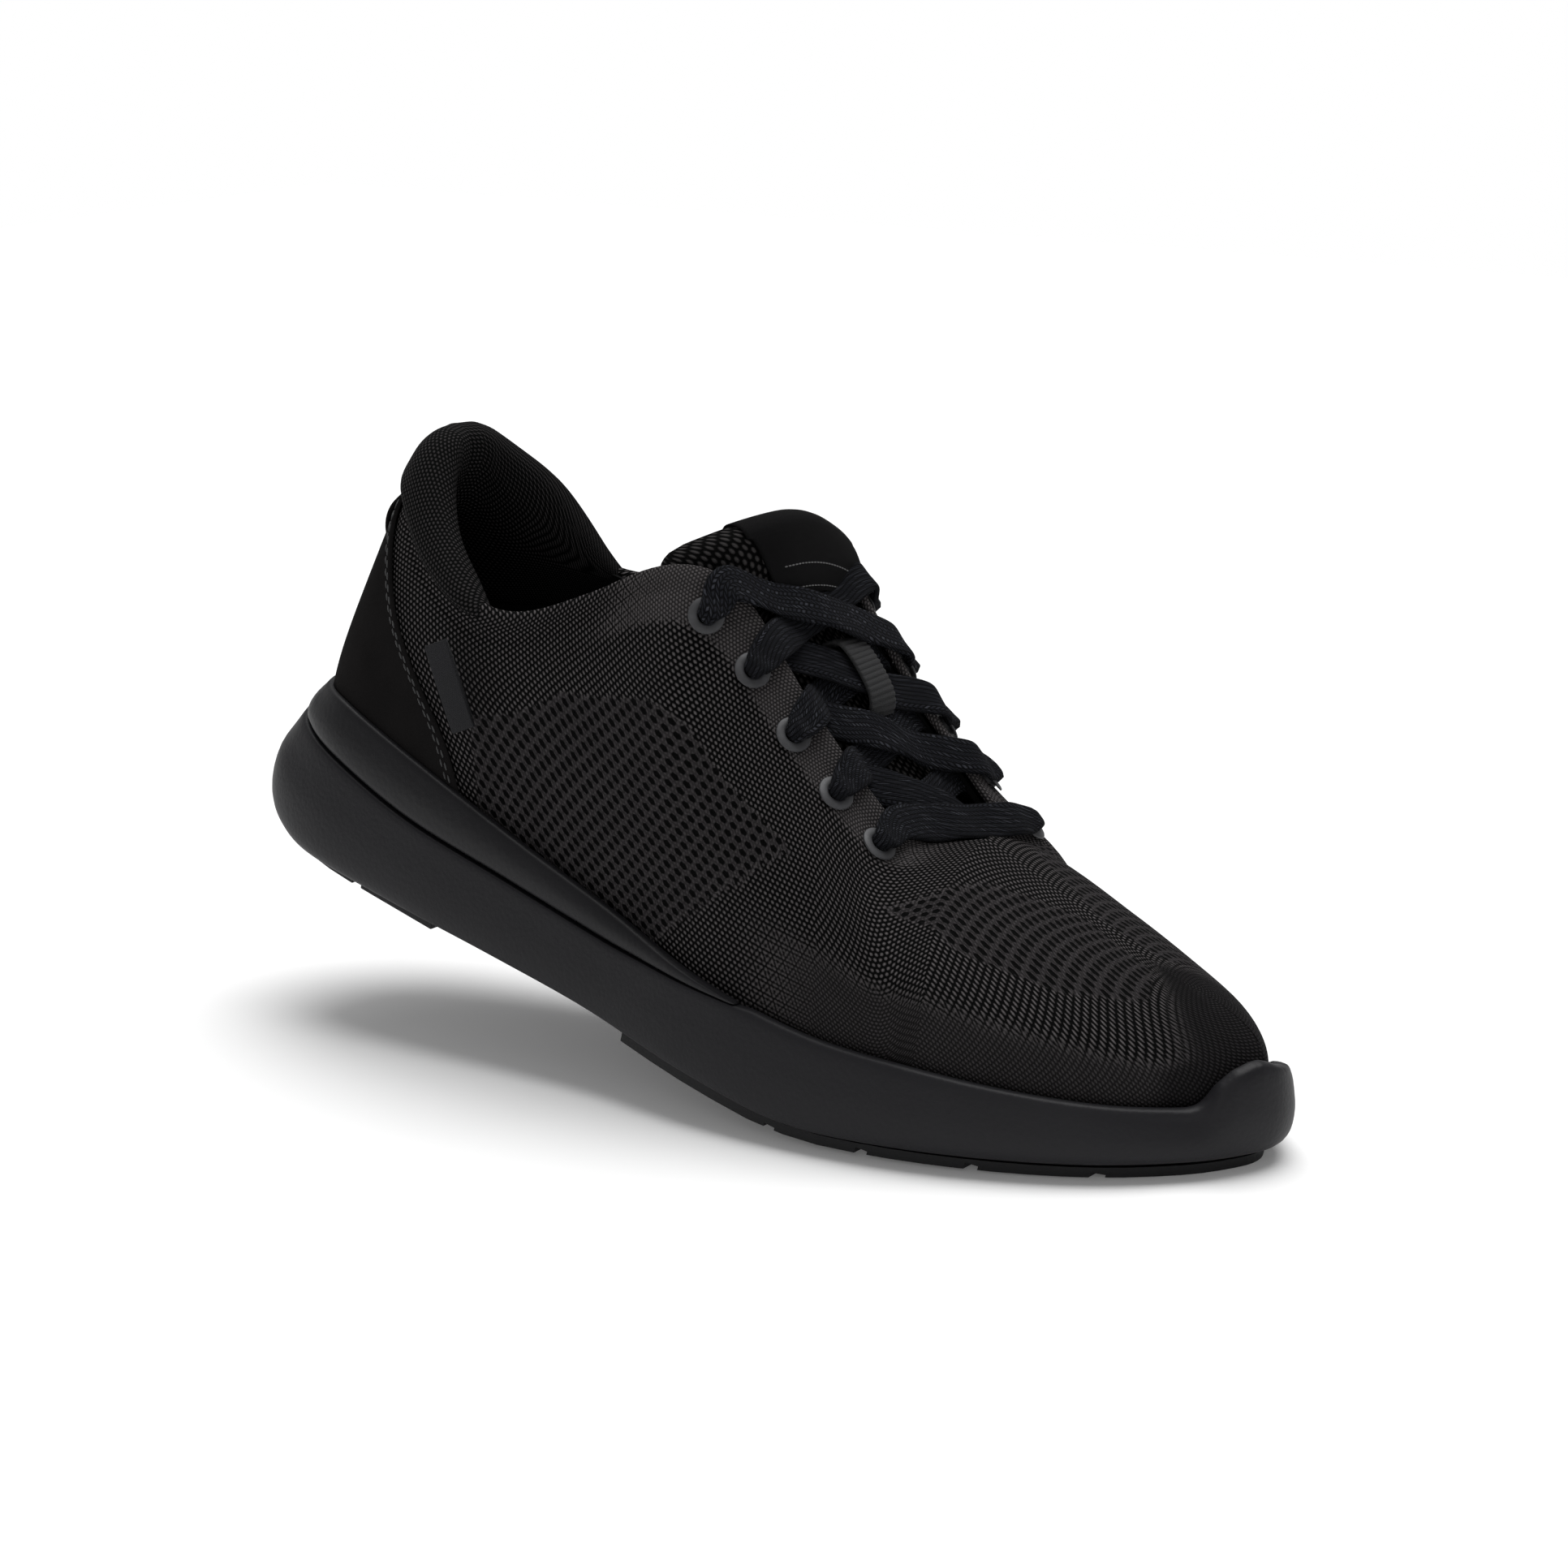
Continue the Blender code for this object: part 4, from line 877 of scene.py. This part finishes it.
def buildBand():
    # the cradle round the heel, its top edge rounded over, running out to a fin towards the toe
    def section(s):
        side, station = sideOf(s), abs(s)
        parting = keyed(form["parting"], station) + 0.25
        rim = rimHeight(side, station)
        lean = rimInset(station)
        low = groundHeight(edgePoint(side, station)[0]) + 3.2
        start = lean * max(0.0, (parting - low) / (rim - low))**1.5 + 0.15
        tall = rim - parting
        bulge = (start + lean) / 2 - 0.8 * min(1.0, tall / 9.0)
        wall = lean + form["rimWall"]
        spots = [(start + 0.9, parting), (start, parting + min(1.2, tall * 0.14)),
                 (start * 0.75 + bulge * 0.25 - 0.1, parting + tall * 0.25), (bulge, parting + tall * 0.5),
                 (lean * 0.75 + bulge * 0.25 - 0.1, parting + tall * 0.78),
                 (lean, rim - min(1.3, tall * 0.12)), (lean + 0.5, rim - 0.3), (lean + 1.5, rim),
                 (wall - 0.4, rim - 0.3), (wall, rim - 1.2), (wall, parting)]
        return [at(side, station, *spot) for spot in spots]

    stops = np.linspace(-soleLook["cradleReach"], soleLook["cradleReach"], 178)
    points = np.array([[np.array(p) for p in section(s)] for s in stops])
    points = np.concatenate([points, points[:, :1]], axis=1)
    piece = makePiece(closedBody(points), "heelCradle", foamBand, "shoe",
                      ("midsole_heel_cradle",))
    roundOff(piece)


buildMidsole()
buildBand()
for node, name in (("outsole_heel", "outsoleHeelPod"), ("outsole_forefoot", "outsoleForefootPod")):
    nodeCopy(node, name, rubber, "shoe", 0.0004, 30)
print("sole made")


# heel: suede panel, stitches, pull tab, flag

panelLook = {"front": [(0.0, 4.45), (0.3, 4.0), (0.6, 2.9), (0.93, 1.0)], "top": 0.945, "edgeShare": 1.4 / 60,
             "lift": 0.7, "thick": 1.0, "stitch": 2.3, "stitchGap": 1.1, "inside": (1.9, 3.6)}


def addDash(bm, centre, along, normal, length, radius):
    along = Vector(unit(along))
    normal = Vector(unit(normal))
    across = along.cross(normal).normalized()
    normal = across.cross(along)
    turn = Matrix((along, across, normal)).transposed().to_4x4()
    scale = Matrix.Diagonal((length / 2000, radius / 1000, radius / 1000 * 0.8, 1))
    bmesh.ops.create_uvsphere(bm, u_segments=8, v_segments=5, radius=1.0,
                              matrix=Matrix.Translation(toRow(centre)) @ turn @ scale)


def stitchRow(bm, path, normals, length, gap, radius=0.27):
    run = runAlong(path)
    for place in np.arange(length / 2 + 0.5, run[-1] - length / 2, length + gap):
        centre = onPath(place, run, path)
        ahead = onPath(place + 0.4, run, path)
        addDash(bm, centre, ahead - centre, onPath(place, run, normals), length, radius)


def buildPanel():
    shares = np.sin(np.linspace(-1, 1, 97) * math.pi / 2)
    rows = np.linspace(0.0, panelLook["top"], 44)
    points = np.array([[wallPoint(sideOf(q), max(abs(q) * keyed(panelLook["front"], v), 0.004), v)
                        for v in rows] for q in shares])
    # the edge rounds over where the panel ends, at the front and the top
    nearEdge = np.minimum(1 - np.abs(shares)[:, None], (panelLook["top"] - rows)[None, :])
    dome = np.clip(nearEdge / panelLook["edgeShare"], 0, 1)
    lift = panelLook["lift"] + panelLook["thick"] * np.sqrt(1 - (1 - dome)**2)
    points = points + gridNormals(points) * lift[..., None]
    bm = gridMesh(points, gridUvs(points))
    weld(bm)
    faceAway(bm, lambda p: Vector((-0.08, 0.0, p.z - 0.01)))
    piece = makePiece(bm, "heelPanelSuede", suede, "shoe", ("heel_panel",))
    thicken(piece, 0.0008, -1)
    seams = bmesh.new()
    top = panelLook["lift"] + panelLook["thick"] + 0.05
    for sign in (-1, 1):
        for inside in panelLook["inside"]:
            heights = np.linspace(0.02, 0.9, 90)
            line = []
            ups = []
            for v in heights:
                limit = keyed(panelLook["front"], v)
                near = wallPoint(sign, limit, v)
                back = wallPoint(sign, limit - 0.05, v)
                station = limit - 0.05 * inside / max(np.linalg.norm(near - back), 1e-6)
                spot = wallPoint(sign, max(station, 0.05), v)
                up = wallPoint(sign, max(station, 0.05), min(v + 0.02, 1)) - spot
                along = wallPoint(sign, max(station, 0.05) + 0.03, v) - spot
                away = unit(np.cross(along, up))
                if away @ np.array([-0.4, sign, 0.1]) < 0:
                    away = -away
                line.append(spot + away * top)
                ups.append(away)
            stitchRow(seams, np.array(line), np.array(ups), panelLook["stitch"], panelLook["stitchGap"])
    makePiece(seams, "heelPanelStitches", darkThread)


def stripMesh(path, across, widths, thick, crown=0.0, rib=None, columns=14):
    # a flat strip: the grid goes along the path and right round its section
    path = np.asarray(path, float)
    along = unit(np.gradient(path, axis=0))
    side = unit(across - along * (along @ across)[:, None])
    up = unit(np.cross(along, side))
    run = runAlong(path)
    lift = np.array([rib(place) for place in run]) if rib else np.zeros(len(run))
    angles = np.linspace(0, 2 * math.pi, columns * 2 + 1)
    loops = []
    for a in angles:
        x = squarish(math.cos(a), 0.45)
        z = squarish(math.sin(a), 0.6)
        half = (widths / 2)[:, None]
        height = (thick / 2 * z + crown * (1 - x * x) + thick / 2 + (lift * (z > 0.2)))[:, None]
        loops.append(path + side * half * x + up * height)
    return closedBody(np.stack(loops, axis=1))


def buildTab():
    path, _ = smoothPath([(20.6, 0, 83.5), (18.3, 0, 87.0), (17.6, 0, 91.0), (18.6, 0, 95.0),
                          (21.2, 0, 99.0)], 0.5)
    bm = stripMesh(path, np.array([0.0, -1.0, 0.0]), np.full(len(path), 13.0), 1.5)
    makePiece(bm, "heelPullTab", suede, "tab_body", ("heel_pull_tab",))


def buildFlag():
    a = np.array([61.5, -40.1, 76.5])
    b = np.array([75.5, -40.4, 57.5])
    down = unit(b - a)
    front = unit(np.cross(down, (0, 1, 0)))
    length = np.linalg.norm(b - a)
    steps = np.linspace(0, 8.2, 20)
    path = np.array([a + down * length / 2 + front * t
                     + np.array([0, -1, 0]) * (0.15 + 0.16 * t - 0.006 * t * t) for t in steps])
    bm = stripMesh(path, down, np.full(len(path), length), 1.0)
    makePiece(bm, "sideFlag", flagTwill, "label_body", ("side_label",))


buildPanel()
buildTab()
buildFlag()
print("heel made")


# padded collar and tongue

collarLook = {"reach": 4.3, "skirt": 2.4, "width": 9.4, "widthHeel": 3.4, "swell": 0.139, "farSwell": 5.0,
              "deep": 30.0}


def collarSection(s):
    side, station = sideOf(s), abs(s)
    share = 1 - float(smoothStep(1.5, 4.1, station))
    thin = math.sqrt(max(0.0, 1 - float(smoothStep(3.3, collarLook["reach"], station))**2)) * 0.98 + 0.02
    top = topPoint(side, station)
    swell = collarLook["swell"] * max(0.0, 74.0 - top[0])
    width = collarLook["width"] + collarLook["widthHeel"] * share
    height = 3.2 + swell + 2.4 + 4.0 * share
    skirt = collarLook["skirt"]
    back = skirt - width
    seam = top.copy()
    seam[2] -= 2.0
    away = outward(side, station)
    lean = math.radians(7) * share
    shape = [(skirt - 2.8, -0.6), (skirt - 1.0, -0.9), (skirt + 0.7, height * 0.17),
             (skirt + 0.5, height * 0.45), (skirt - 0.7, height * 0.72), (skirt - 3.0, height * 0.93),
             (skirt - width * 0.45, height * 1.02), (back + width * 0.22, height * 0.95),
             (back + width * 0.05, height * 0.74),
             (back - 0.3, height * 0.42), (back - 0.1, height * 0.1)]
    raised = collarLook["farSwell"] * math.exp(-((station - 3.0) / 0.75)**2) * (side > 0)
    points = []
    for out, up in shape:
        tilt = -up * math.sin(lean)
        share = min(max(up / height, 0), 1)
        flat = seam[:2] + away * (out + tilt * (up > 3) + raised * 0.65 * share)
        points.append(np.array([*flat, seam[2] + up + raised * share]))
    # the inner face runs down over the lining and thins out
    rise = np.linspace(1, 0.2, 60)
    wall = wallCurve(side, station, rise)
    run = runAlong(wall)
    deep = collarLook["deep"] * (1 - 0.7 * float(smoothStep(2.4, 4.2, station)))

    def inner(depth, inwards):
        spot = onPath(depth, run, wall)
        spot[:2] -= away * inwards
        return spot

    for f in (0.2, 0.42, 0.65, 0.88):
        points.append(inner(deep * f, 5.4 + (-back - 5.0) * (1 - float(smoothStep(0, 1, f)))))
    points += [inner(deep, 4.6), inner(deep * 0.9, 3.6), inner(deep * 0.45, 3.0), inner(3.0, 2.8)]
    middle = np.array([*(seam[:2] + away * 0.2 * back), seam[2] + height * 0.1])
    points = [middle + (p - middle) * thin for p in points]
    return points


def roundLoop(points, count):
    # a smooth closed curve through the given points
    points = np.asarray(points)
    n = len(points)
    out = []
    for t in np.linspace(0, n, count, endpoint=False):
        k = int(t)
        out.append(throughFour(*(points[(k + j) % n] for j in (-1, 0, 1, 2)), t - k))
    return np.array(out + [out[0]])


def buildCollar():
    reach = collarLook["reach"] - 0.01
    stops = np.linspace(-reach, reach, 200)
    bm = closedBody(np.array([roundLoop(collarSection(s), 80) for s in stops]))
    collar = makePiece(bm, "collarRoll", rollCloth, "shoe", ("collar_roll",))


# free rows of the tongue: middle point, then fall back, fall down and half width on the outer and inner side
tongueLook = {"half": 28.0, "innerHalf": 25.0, "centreDepth": 4.3, "arch": 8.0, "innerArch": 6.0,
              "free": [(133.4, 3.4, 132.2, 18, 8.5, 31, 3, 8, 25),
                       (136.4, 3.4, 127.5, 16.5, 7.5, 31, 3, 10, 28),
                       (138.8, 3.4, 120.5, 14.5, 6, 30, 3, 9.5, 30),
                       (141.2, 3.4, 113.5, 12, 4, 29, 3.5, 7, 29)]}


def throatMiddle(station):
    outer = topPoint(-1, station)
    inner = topPoint(1, station)
    across = unit(inner - outer)
    ahead = (topPoint(-1, station + 0.05) + topPoint(1, station + 0.05)
             - topPoint(-1, station - 0.05) - topPoint(1, station - 0.05))
    ahead = unit(ahead - across * (ahead @ across))
    normal = unit(np.cross(ahead, across))
    if normal[2] < 0:
        normal = -normal
    return (outer + inner) / 2, across, ahead, normal


def tongueFrames():
    # rows of 19 values: centre, across, along, normal, then falls, thickness and half widths
    arch, innerArch = tongueLook["arch"], tongueLook["innerArch"]
    half, innerHalf = tongueLook["half"], tongueLook["innerHalf"]
    frames = []
    for x, y, z, backOuter, downOuter, halfOuter, backInner, downInner, halfInner in tongueLook["free"]:
        along = unit((0.33, 0.02, -0.94))
        across = unit((0.10, 1, 0))
        frames.append(np.concatenate([[x, y, z], across, along, unit(np.cross(along, across)),
                                      [backOuter, downOuter, backInner, downInner, 6.6, halfOuter,
                                       halfInner]]))
    for station in np.linspace(6.9, 8.55, 9):
        middle, across, ahead, normal = throatMiddle(station)
        thick = 6.0 - 2.4 * (station - 6.9) / 1.65
        frames.append(np.concatenate([middle - normal * tongueLook["centreDepth"], across, ahead, normal,
                                      [arch, 0, innerArch, 0, thick, half, innerHalf]]))
    middle, across, ahead, normal = throatMiddle(8.55)
    tip = middle + ahead * 16 - normal * (tongueLook["centreDepth"] + 5.4)
    frames.append(np.concatenate([tip, across, ahead, normal, [arch, 0, innerArch, 0, 2.6, half, innerHalf]]))
    return frames


def tonguePoint(row, q, depth):
    centre, across, along, normal = row[:3], unit(row[3:6]), unit(row[6:9]), unit(row[9:12])
    back, down = row[14:16] if q > 0 else row[12:14]
    half = row[18] if q > 0 else row[17]
    return centre + across * half * q - normal * (back * q * q + depth) + along * down * q * q


def tonguePlane(row, places, depth, rise):
    along = unit(row[6:9])
    return np.array([tonguePoint(row, q, depth) - along * rise for q in places])


def buildTongue():
    rows, runs = smoothPath(tongueFrames(), 0.9)
    loops = []
    for row, run in zip(rows, runs):
        thick = row[16] * math.sqrt(max(0.02, 1 - max(0.0, 1 - run / 3.2)**2))
        corner = 0.80 + 0.20 * math.sqrt(max(0.0, 1 - max(0.0, 1 - run / 9)**2))
        ring = []
        for a in np.linspace(0, 2 * math.pi, 81):
            q = squarish(math.cos(a), 0.8) * (corner if math.cos(a) < 0 else 1)
            bulge = squarish(math.sin(a), 0.55)
            ring.append(tonguePoint(row, q, row[16] / 2 - bulge * thick / 2))
        loops.append(ring)
    bm = closedBody(np.array(loops))
    tongue = makePiece(bm, "tonguePad", spacerMesh, "shoe", ("tongue",))


def buildTongueLabel():
    rows, runs = smoothPath(tongueFrames()[:4], 0.5)

    def places(share):
        return np.linspace(-0.47 + 0.2 * share, 0.96, 48)

    # over the top edge from behind, then down the front
    points = []
    for a in np.linspace(0.25, math.pi, 13):
        place = 3.2 - 3.7 * math.sin(a)
        k = int(np.clip(round(place / 0.5), 0, len(rows) - 1))
        points.append(tonguePlane(rows[k], places(0), 3.3 + 3.85 * math.cos(a), runs[k] - place))
    points += [np.array([tonguePoint(row, q, -0.55) for q in places(run / runs[-1])])
               for row, run in zip(rows, runs) if run > 3.6]
    points = np.array(points)
    bm = gridMesh(points, gridUvs(points))
    weld(bm)
    faceAway(bm, lambda p: Vector((-0.03, 0.003, 0.11)))
    label = makePiece(bm, "tongueLabel", satin, "shoe", ("tongue_label",))
    thicken(label, 0.0005, 0)
    seams = bmesh.new()
    for share, first, last in ((0.64, -0.2, 0.86), (0.95, -0.05, 0.8)):
        row = rows[int(share * (len(rows) - 1))]
        line = np.array([tonguePoint(row, q, -0.8) for q in np.linspace(first, last, 50)])
        away = np.tile(unit(row[9:12]), (len(line), 1))
        stitchRow(seams, line, away, 1.1, 0.15, 0.2)
    makePiece(seams, "tongueLabelThreads", greyThread)


buildCollar()
buildTongue()
buildTongueLabel()
print("collar and tongue made")


# eyelets, lace, keeper

laceLook = {"width": 10.0, "thick": 2.0, "bunched": (2.3, 1.8), "spacing": 0.8, "overLift": 2.1,
            "underDepth": 5.2,
            "runs": [((-1, 1), "over", (1, 2), "over", 7.4), ((1, 2), "under", (-1, 3), "over", 1.5),
                     ((-1, 3), "under", (1, 4), "over", 3.9), ((1, 4), "under", (-1, 5), "under", 1.5),
                     ((-1, 5), "over", (1, 5), "over", 6.3), ((1, 5), "under", (-1, 4), "under", 3.9),
                     ((-1, 4), "over", (1, 3), "under", 1.5), ((1, 3), "over", (-1, 2), "under", 3.9),
                     ((-1, 2), "over", (1, 1), "over", 3.9)]}


def laceRoute():
    route = []

    def passEyelet(key, downwards):
        centre, normal, _, _ = eyeletFrame(*key)
        steps = [(2.8, 0.15), (0.4, 0.0), (-2.4, 0.0), (-5.0, 0.1)]
        for lift, flat in steps if downwards else steps[::-1]:
            route.append((*(centre + normal * lift), flat))

    def leave(key, way):
        centre, normal, _, edge = eyeletFrame(*key)
        inwards = unit(edge - centre)
        if way == "over":
            return [(centre + inwards * 3.6 + normal * 2.4, 0.65),
                    (edge + normal * laceLook["overLift"], 1.0)]
        return [(centre + inwards * 3.4 - normal * laceLook["underDepth"], 0.4),
                (edge - normal * (laceLook["underDepth"] + 0.2), 0.9)]

    passEyelet((-1, 1), False)
    for start, startWay, end, endWay, height in laceLook["runs"]:
        out = leave(start, startWay)
        back = leave(end, endWay)[::-1]
        route.extend((*p, flat) for p, flat in out)
        a, b = out[-1][0], back[0][0]
        first, last = form["eyeletStations"][-1]
        station = first + (last - first) * ((start[1] + end[1]) / 2 - 1) / 4
        middle, across, _, normal = throatMiddle(min(station, 8.45))
        for f in (0.28, 0.5, 0.72):
            p = a + (b - a) * f
            over = (p - middle) @ normal + tongueLook["centreDepth"]
            q = ((p - middle) @ across) / tongueLook["half"]
            arch = tongueLook["innerArch"] if q > 0 else tongueLook["arch"]
            route.append((*(p + normal * (height - arch * q * q - over)), 1.0))
        route.extend((*p, flat) for p, flat in back)
        passEyelet(end, endWay == "over")
    return route


def buildLace():
    line, run = smoothPath(laceRoute(), laceLook["spacing"])
    centre, flat = line[:, :3], np.clip(line[:, 3], 0, 1)
    tangent = unit(np.gradient(centre, axis=0))
    row = unit((0.80, 0.03, -0.60))
    wide = unit(row - tangent * (tangent @ row)[:, None])
    # the width settles slowly from ring to ring, as a flat braid does
    for _ in range(6):
        wide = unit(wide + 0.5 * (np.roll(wide, 1, 0) + np.roll(wide, -1, 0)))
        wide = unit(wide - tangent * np.sum(wide * tangent, axis=1)[:, None])
    thin = np.cross(tangent, wide)
    sway = 1 + 0.04 * np.sin(run / 7.3) + 0.03 * np.sin(run / 3.1 + 1.2)
    halfWide = laceLook["bunched"][0] + (laceLook["width"] / 2 * sway - laceLook["bunched"][0]) * flat
    halfThin = laceLook["bunched"][1] + (laceLook["thick"] / 2 - laceLook["bunched"][1]) * flat
    loops = []
    for a in np.linspace(0, 2 * math.pi, 25):
        x = squarish(math.cos(a), 0.7)
        z = squarish(math.sin(a), 0.6)
        dish = (1 - 0.16 * math.cos(x * math.pi / 2)**2 * flat)
        loops.append(centre + wide * (halfWide * x)[:, None] + thin * (halfThin * z * dish)[:, None])
    bm = closedBody(np.stack(loops, axis=1))
    makePiece(bm, "shoeLace", laceCloth, "shoe", ("lace",))


def buildEyelets():
    profile = [(2.3, -2.6), (2.3, 1.0), (2.5, 1.3), (2.9, 1.42), (4.0, 1.3), (4.6, 1.05), (4.75, 0.75),
               (4.55, 0.5), (2.9, 0.45), (2.85, -2.6)]
    for side, word in ((-1, "lateral"), (1, "medial")):
        for number in range(1, 6):
            centre, normal, _, _ = eyeletFrame(side, number)
            bm = bmesh.new()
            ring = [bm.verts.new((r / 1000, 0, z / 1000)) for r, z in profile]
            edges = [bm.edges.new((ring[k], ring[(k + 1) % len(ring)])) for k in range(len(ring))]
            bmesh.ops.spin(bm, geom=ring + edges, cent=(0, 0, 0), axis=(0, 0, 1), angle=2 * math.pi, steps=40,
                           use_merge=True)
            turn = Vector(normal).to_track_quat("Z", "Y").to_matrix().to_4x4()
            bm.transform(Matrix.Translation(toRow(centre)) @ turn)
            turnOutward(bm)
            makePiece(bm, f"eyeletRing_{word}_{number}", eyeletPaint, "shoe",
                      (f"eyelet_{word}_{number}",), 40)


def buildKeeper():
    keys = []
    for station, height in ((7.1, -0.5), (7.12, 3.2), (7.18, 5.0), (7.32, 5.7), (7.5, 5.1), (7.6, 2.8),
                            (7.64, -0.5)):
        middle, across, _, normal = throatMiddle(station)
        keys.append(middle + across * 5.5 - normal * (tongueLook["centreDepth"] - height))
    path, _ = smoothPath(keys, 0.15)
    across = throatMiddle(7.3)[1]
    bm = stripMesh(path, across, np.full(len(path), 9.6), 1.0,
                   rib=lambda place: 0.42 * abs(math.sin(place * math.pi / 1.45))**0.7, columns=10)
    makePiece(bm, "laceKeeper", ribTape, "shoe", ("lace_keeper",))


buildEyelets()
buildLace()
buildKeeper()
print("lacing made")


# floor, light, camera

studio = {"world": 0.27, "floorTilt": (-0.245, 0.0, 0.9695), "floorAt": (0.147, 0.0, 0.0235),
          "sun": (0.0, 0.22), "sunWidth": 48.0, "sunPower": 2.55,
          "lamps": [("rim", (-0.8, 0.5, 0.9), 0.6, 1.6), ("side", (0.5, -1.3, 0.7), 0.9, 1.6)],
          "cameraAt": (0.5248, -0.9182, 0.4772), "cameraTurn": (68.25, -11.77, 34.5), "lens": 102.44}


def buildStudio():
    scene = bpy.context.scene
    world = bpy.data.worlds.new("studioWorld")
    world.use_nodes = True
    tree = world.node_tree
    glow = tree.nodes["Background"]
    glow.inputs["Color"].default_value = (1, 1, 1, 1)
    glow.inputs["Strength"].default_value = studio["world"]
    seen = tree.nodes.new("ShaderNodeBackground")
    seen.inputs["Color"].default_value = (1, 1, 1, 1)
    rays = tree.nodes.new("ShaderNodeLightPath")
    choose = tree.nodes.new("ShaderNodeMixShader")
    tree.links.new(rays.outputs["Is Camera Ray"], choose.inputs[0])
    tree.links.new(glow.outputs[0], choose.inputs[1])
    tree.links.new(seen.outputs[0], choose.inputs[2])
    tree.links.new(choose.outputs[0], tree.nodes["World Output"].inputs["Surface"])
    scene.world = world
    scene.view_settings.view_transform = "Standard"
    tilt = Vector(studio["floorTilt"]).normalized()
    turn = tilt.to_track_quat("Z", "Y").to_matrix().to_4x4()
    bm = bmesh.new()
    bmesh.ops.create_grid(bm, x_segments=4, y_segments=4, size=1.6,
                          matrix=Matrix.Translation(studio["floorAt"]) @ turn)
    mesh = bpy.data.meshes.new("studioFloor")
    bm.to_mesh(mesh)
    bm.free()
    floor = bpy.data.objects.new("studioFloor", mesh)
    bpy.context.collection.objects.link(floor)
    material, tree, shader = newMaterial("paleFloor", Base_Color=(0.93, 0.93, 0.93, 1), Roughness=0.9,
                                         Specular_IOR_Level=0.0)
    shader.inputs["Emission Color"].default_value = (1, 1, 1, 1)
    shader.inputs["Emission Strength"].default_value = 0.08
    clear = tree.nodes.new("ShaderNodeBsdfTransparent")
    back = tree.nodes.new("ShaderNodeNewGeometry")
    mix = tree.nodes.new("ShaderNodeMixShader")
    tree.links.new(back.outputs["Backfacing"], mix.inputs[0])
    tree.links.new(shader.outputs[0], mix.inputs[1])
    tree.links.new(clear.outputs[0], mix.inputs[2])
    tree.links.new(mix.outputs[0], tree.nodes["Material Output"].inputs["Surface"])
    mesh.materials.append(material)
    target = Vector((0.0, 0.0, 0.06))
    sun = bpy.data.lights.new("softSun", "SUN")
    sun.energy = studio["sunPower"]
    sun.angle = math.radians(studio["sunWidth"])
    holder = bpy.data.objects.new("softSun", sun)
    towardsSun = tilt + Vector((*studio["sun"], 0))
    holder.rotation_euler = towardsSun.to_track_quat("Z", "Y").to_euler()
    bpy.context.collection.objects.link(holder)
    for name, place, size, power in studio["lamps"]:
        lamp = bpy.data.lights.new(name, "AREA")
        lamp.shape = "DISK"
        lamp.size = size
        lamp.energy = power
        holder = bpy.data.objects.new(name, lamp)
        holder.location = place
        holder.rotation_euler = (target - Vector(place)).to_track_quat("-Z", "Y").to_euler()
        bpy.context.collection.objects.link(holder)
    data = bpy.data.cameras.new("camera")
    data.lens = studio["lens"]
    data.sensor_width = 36.0
    data.clip_end = 20.0
    camera = bpy.data.objects.new("camera", data)
    camera.location = studio["cameraAt"]
    camera.rotation_euler = [math.radians(turn) for turn in studio["cameraTurn"]]
    bpy.context.collection.objects.link(camera)
    scene.camera = camera


buildStudio()
print("studio made")
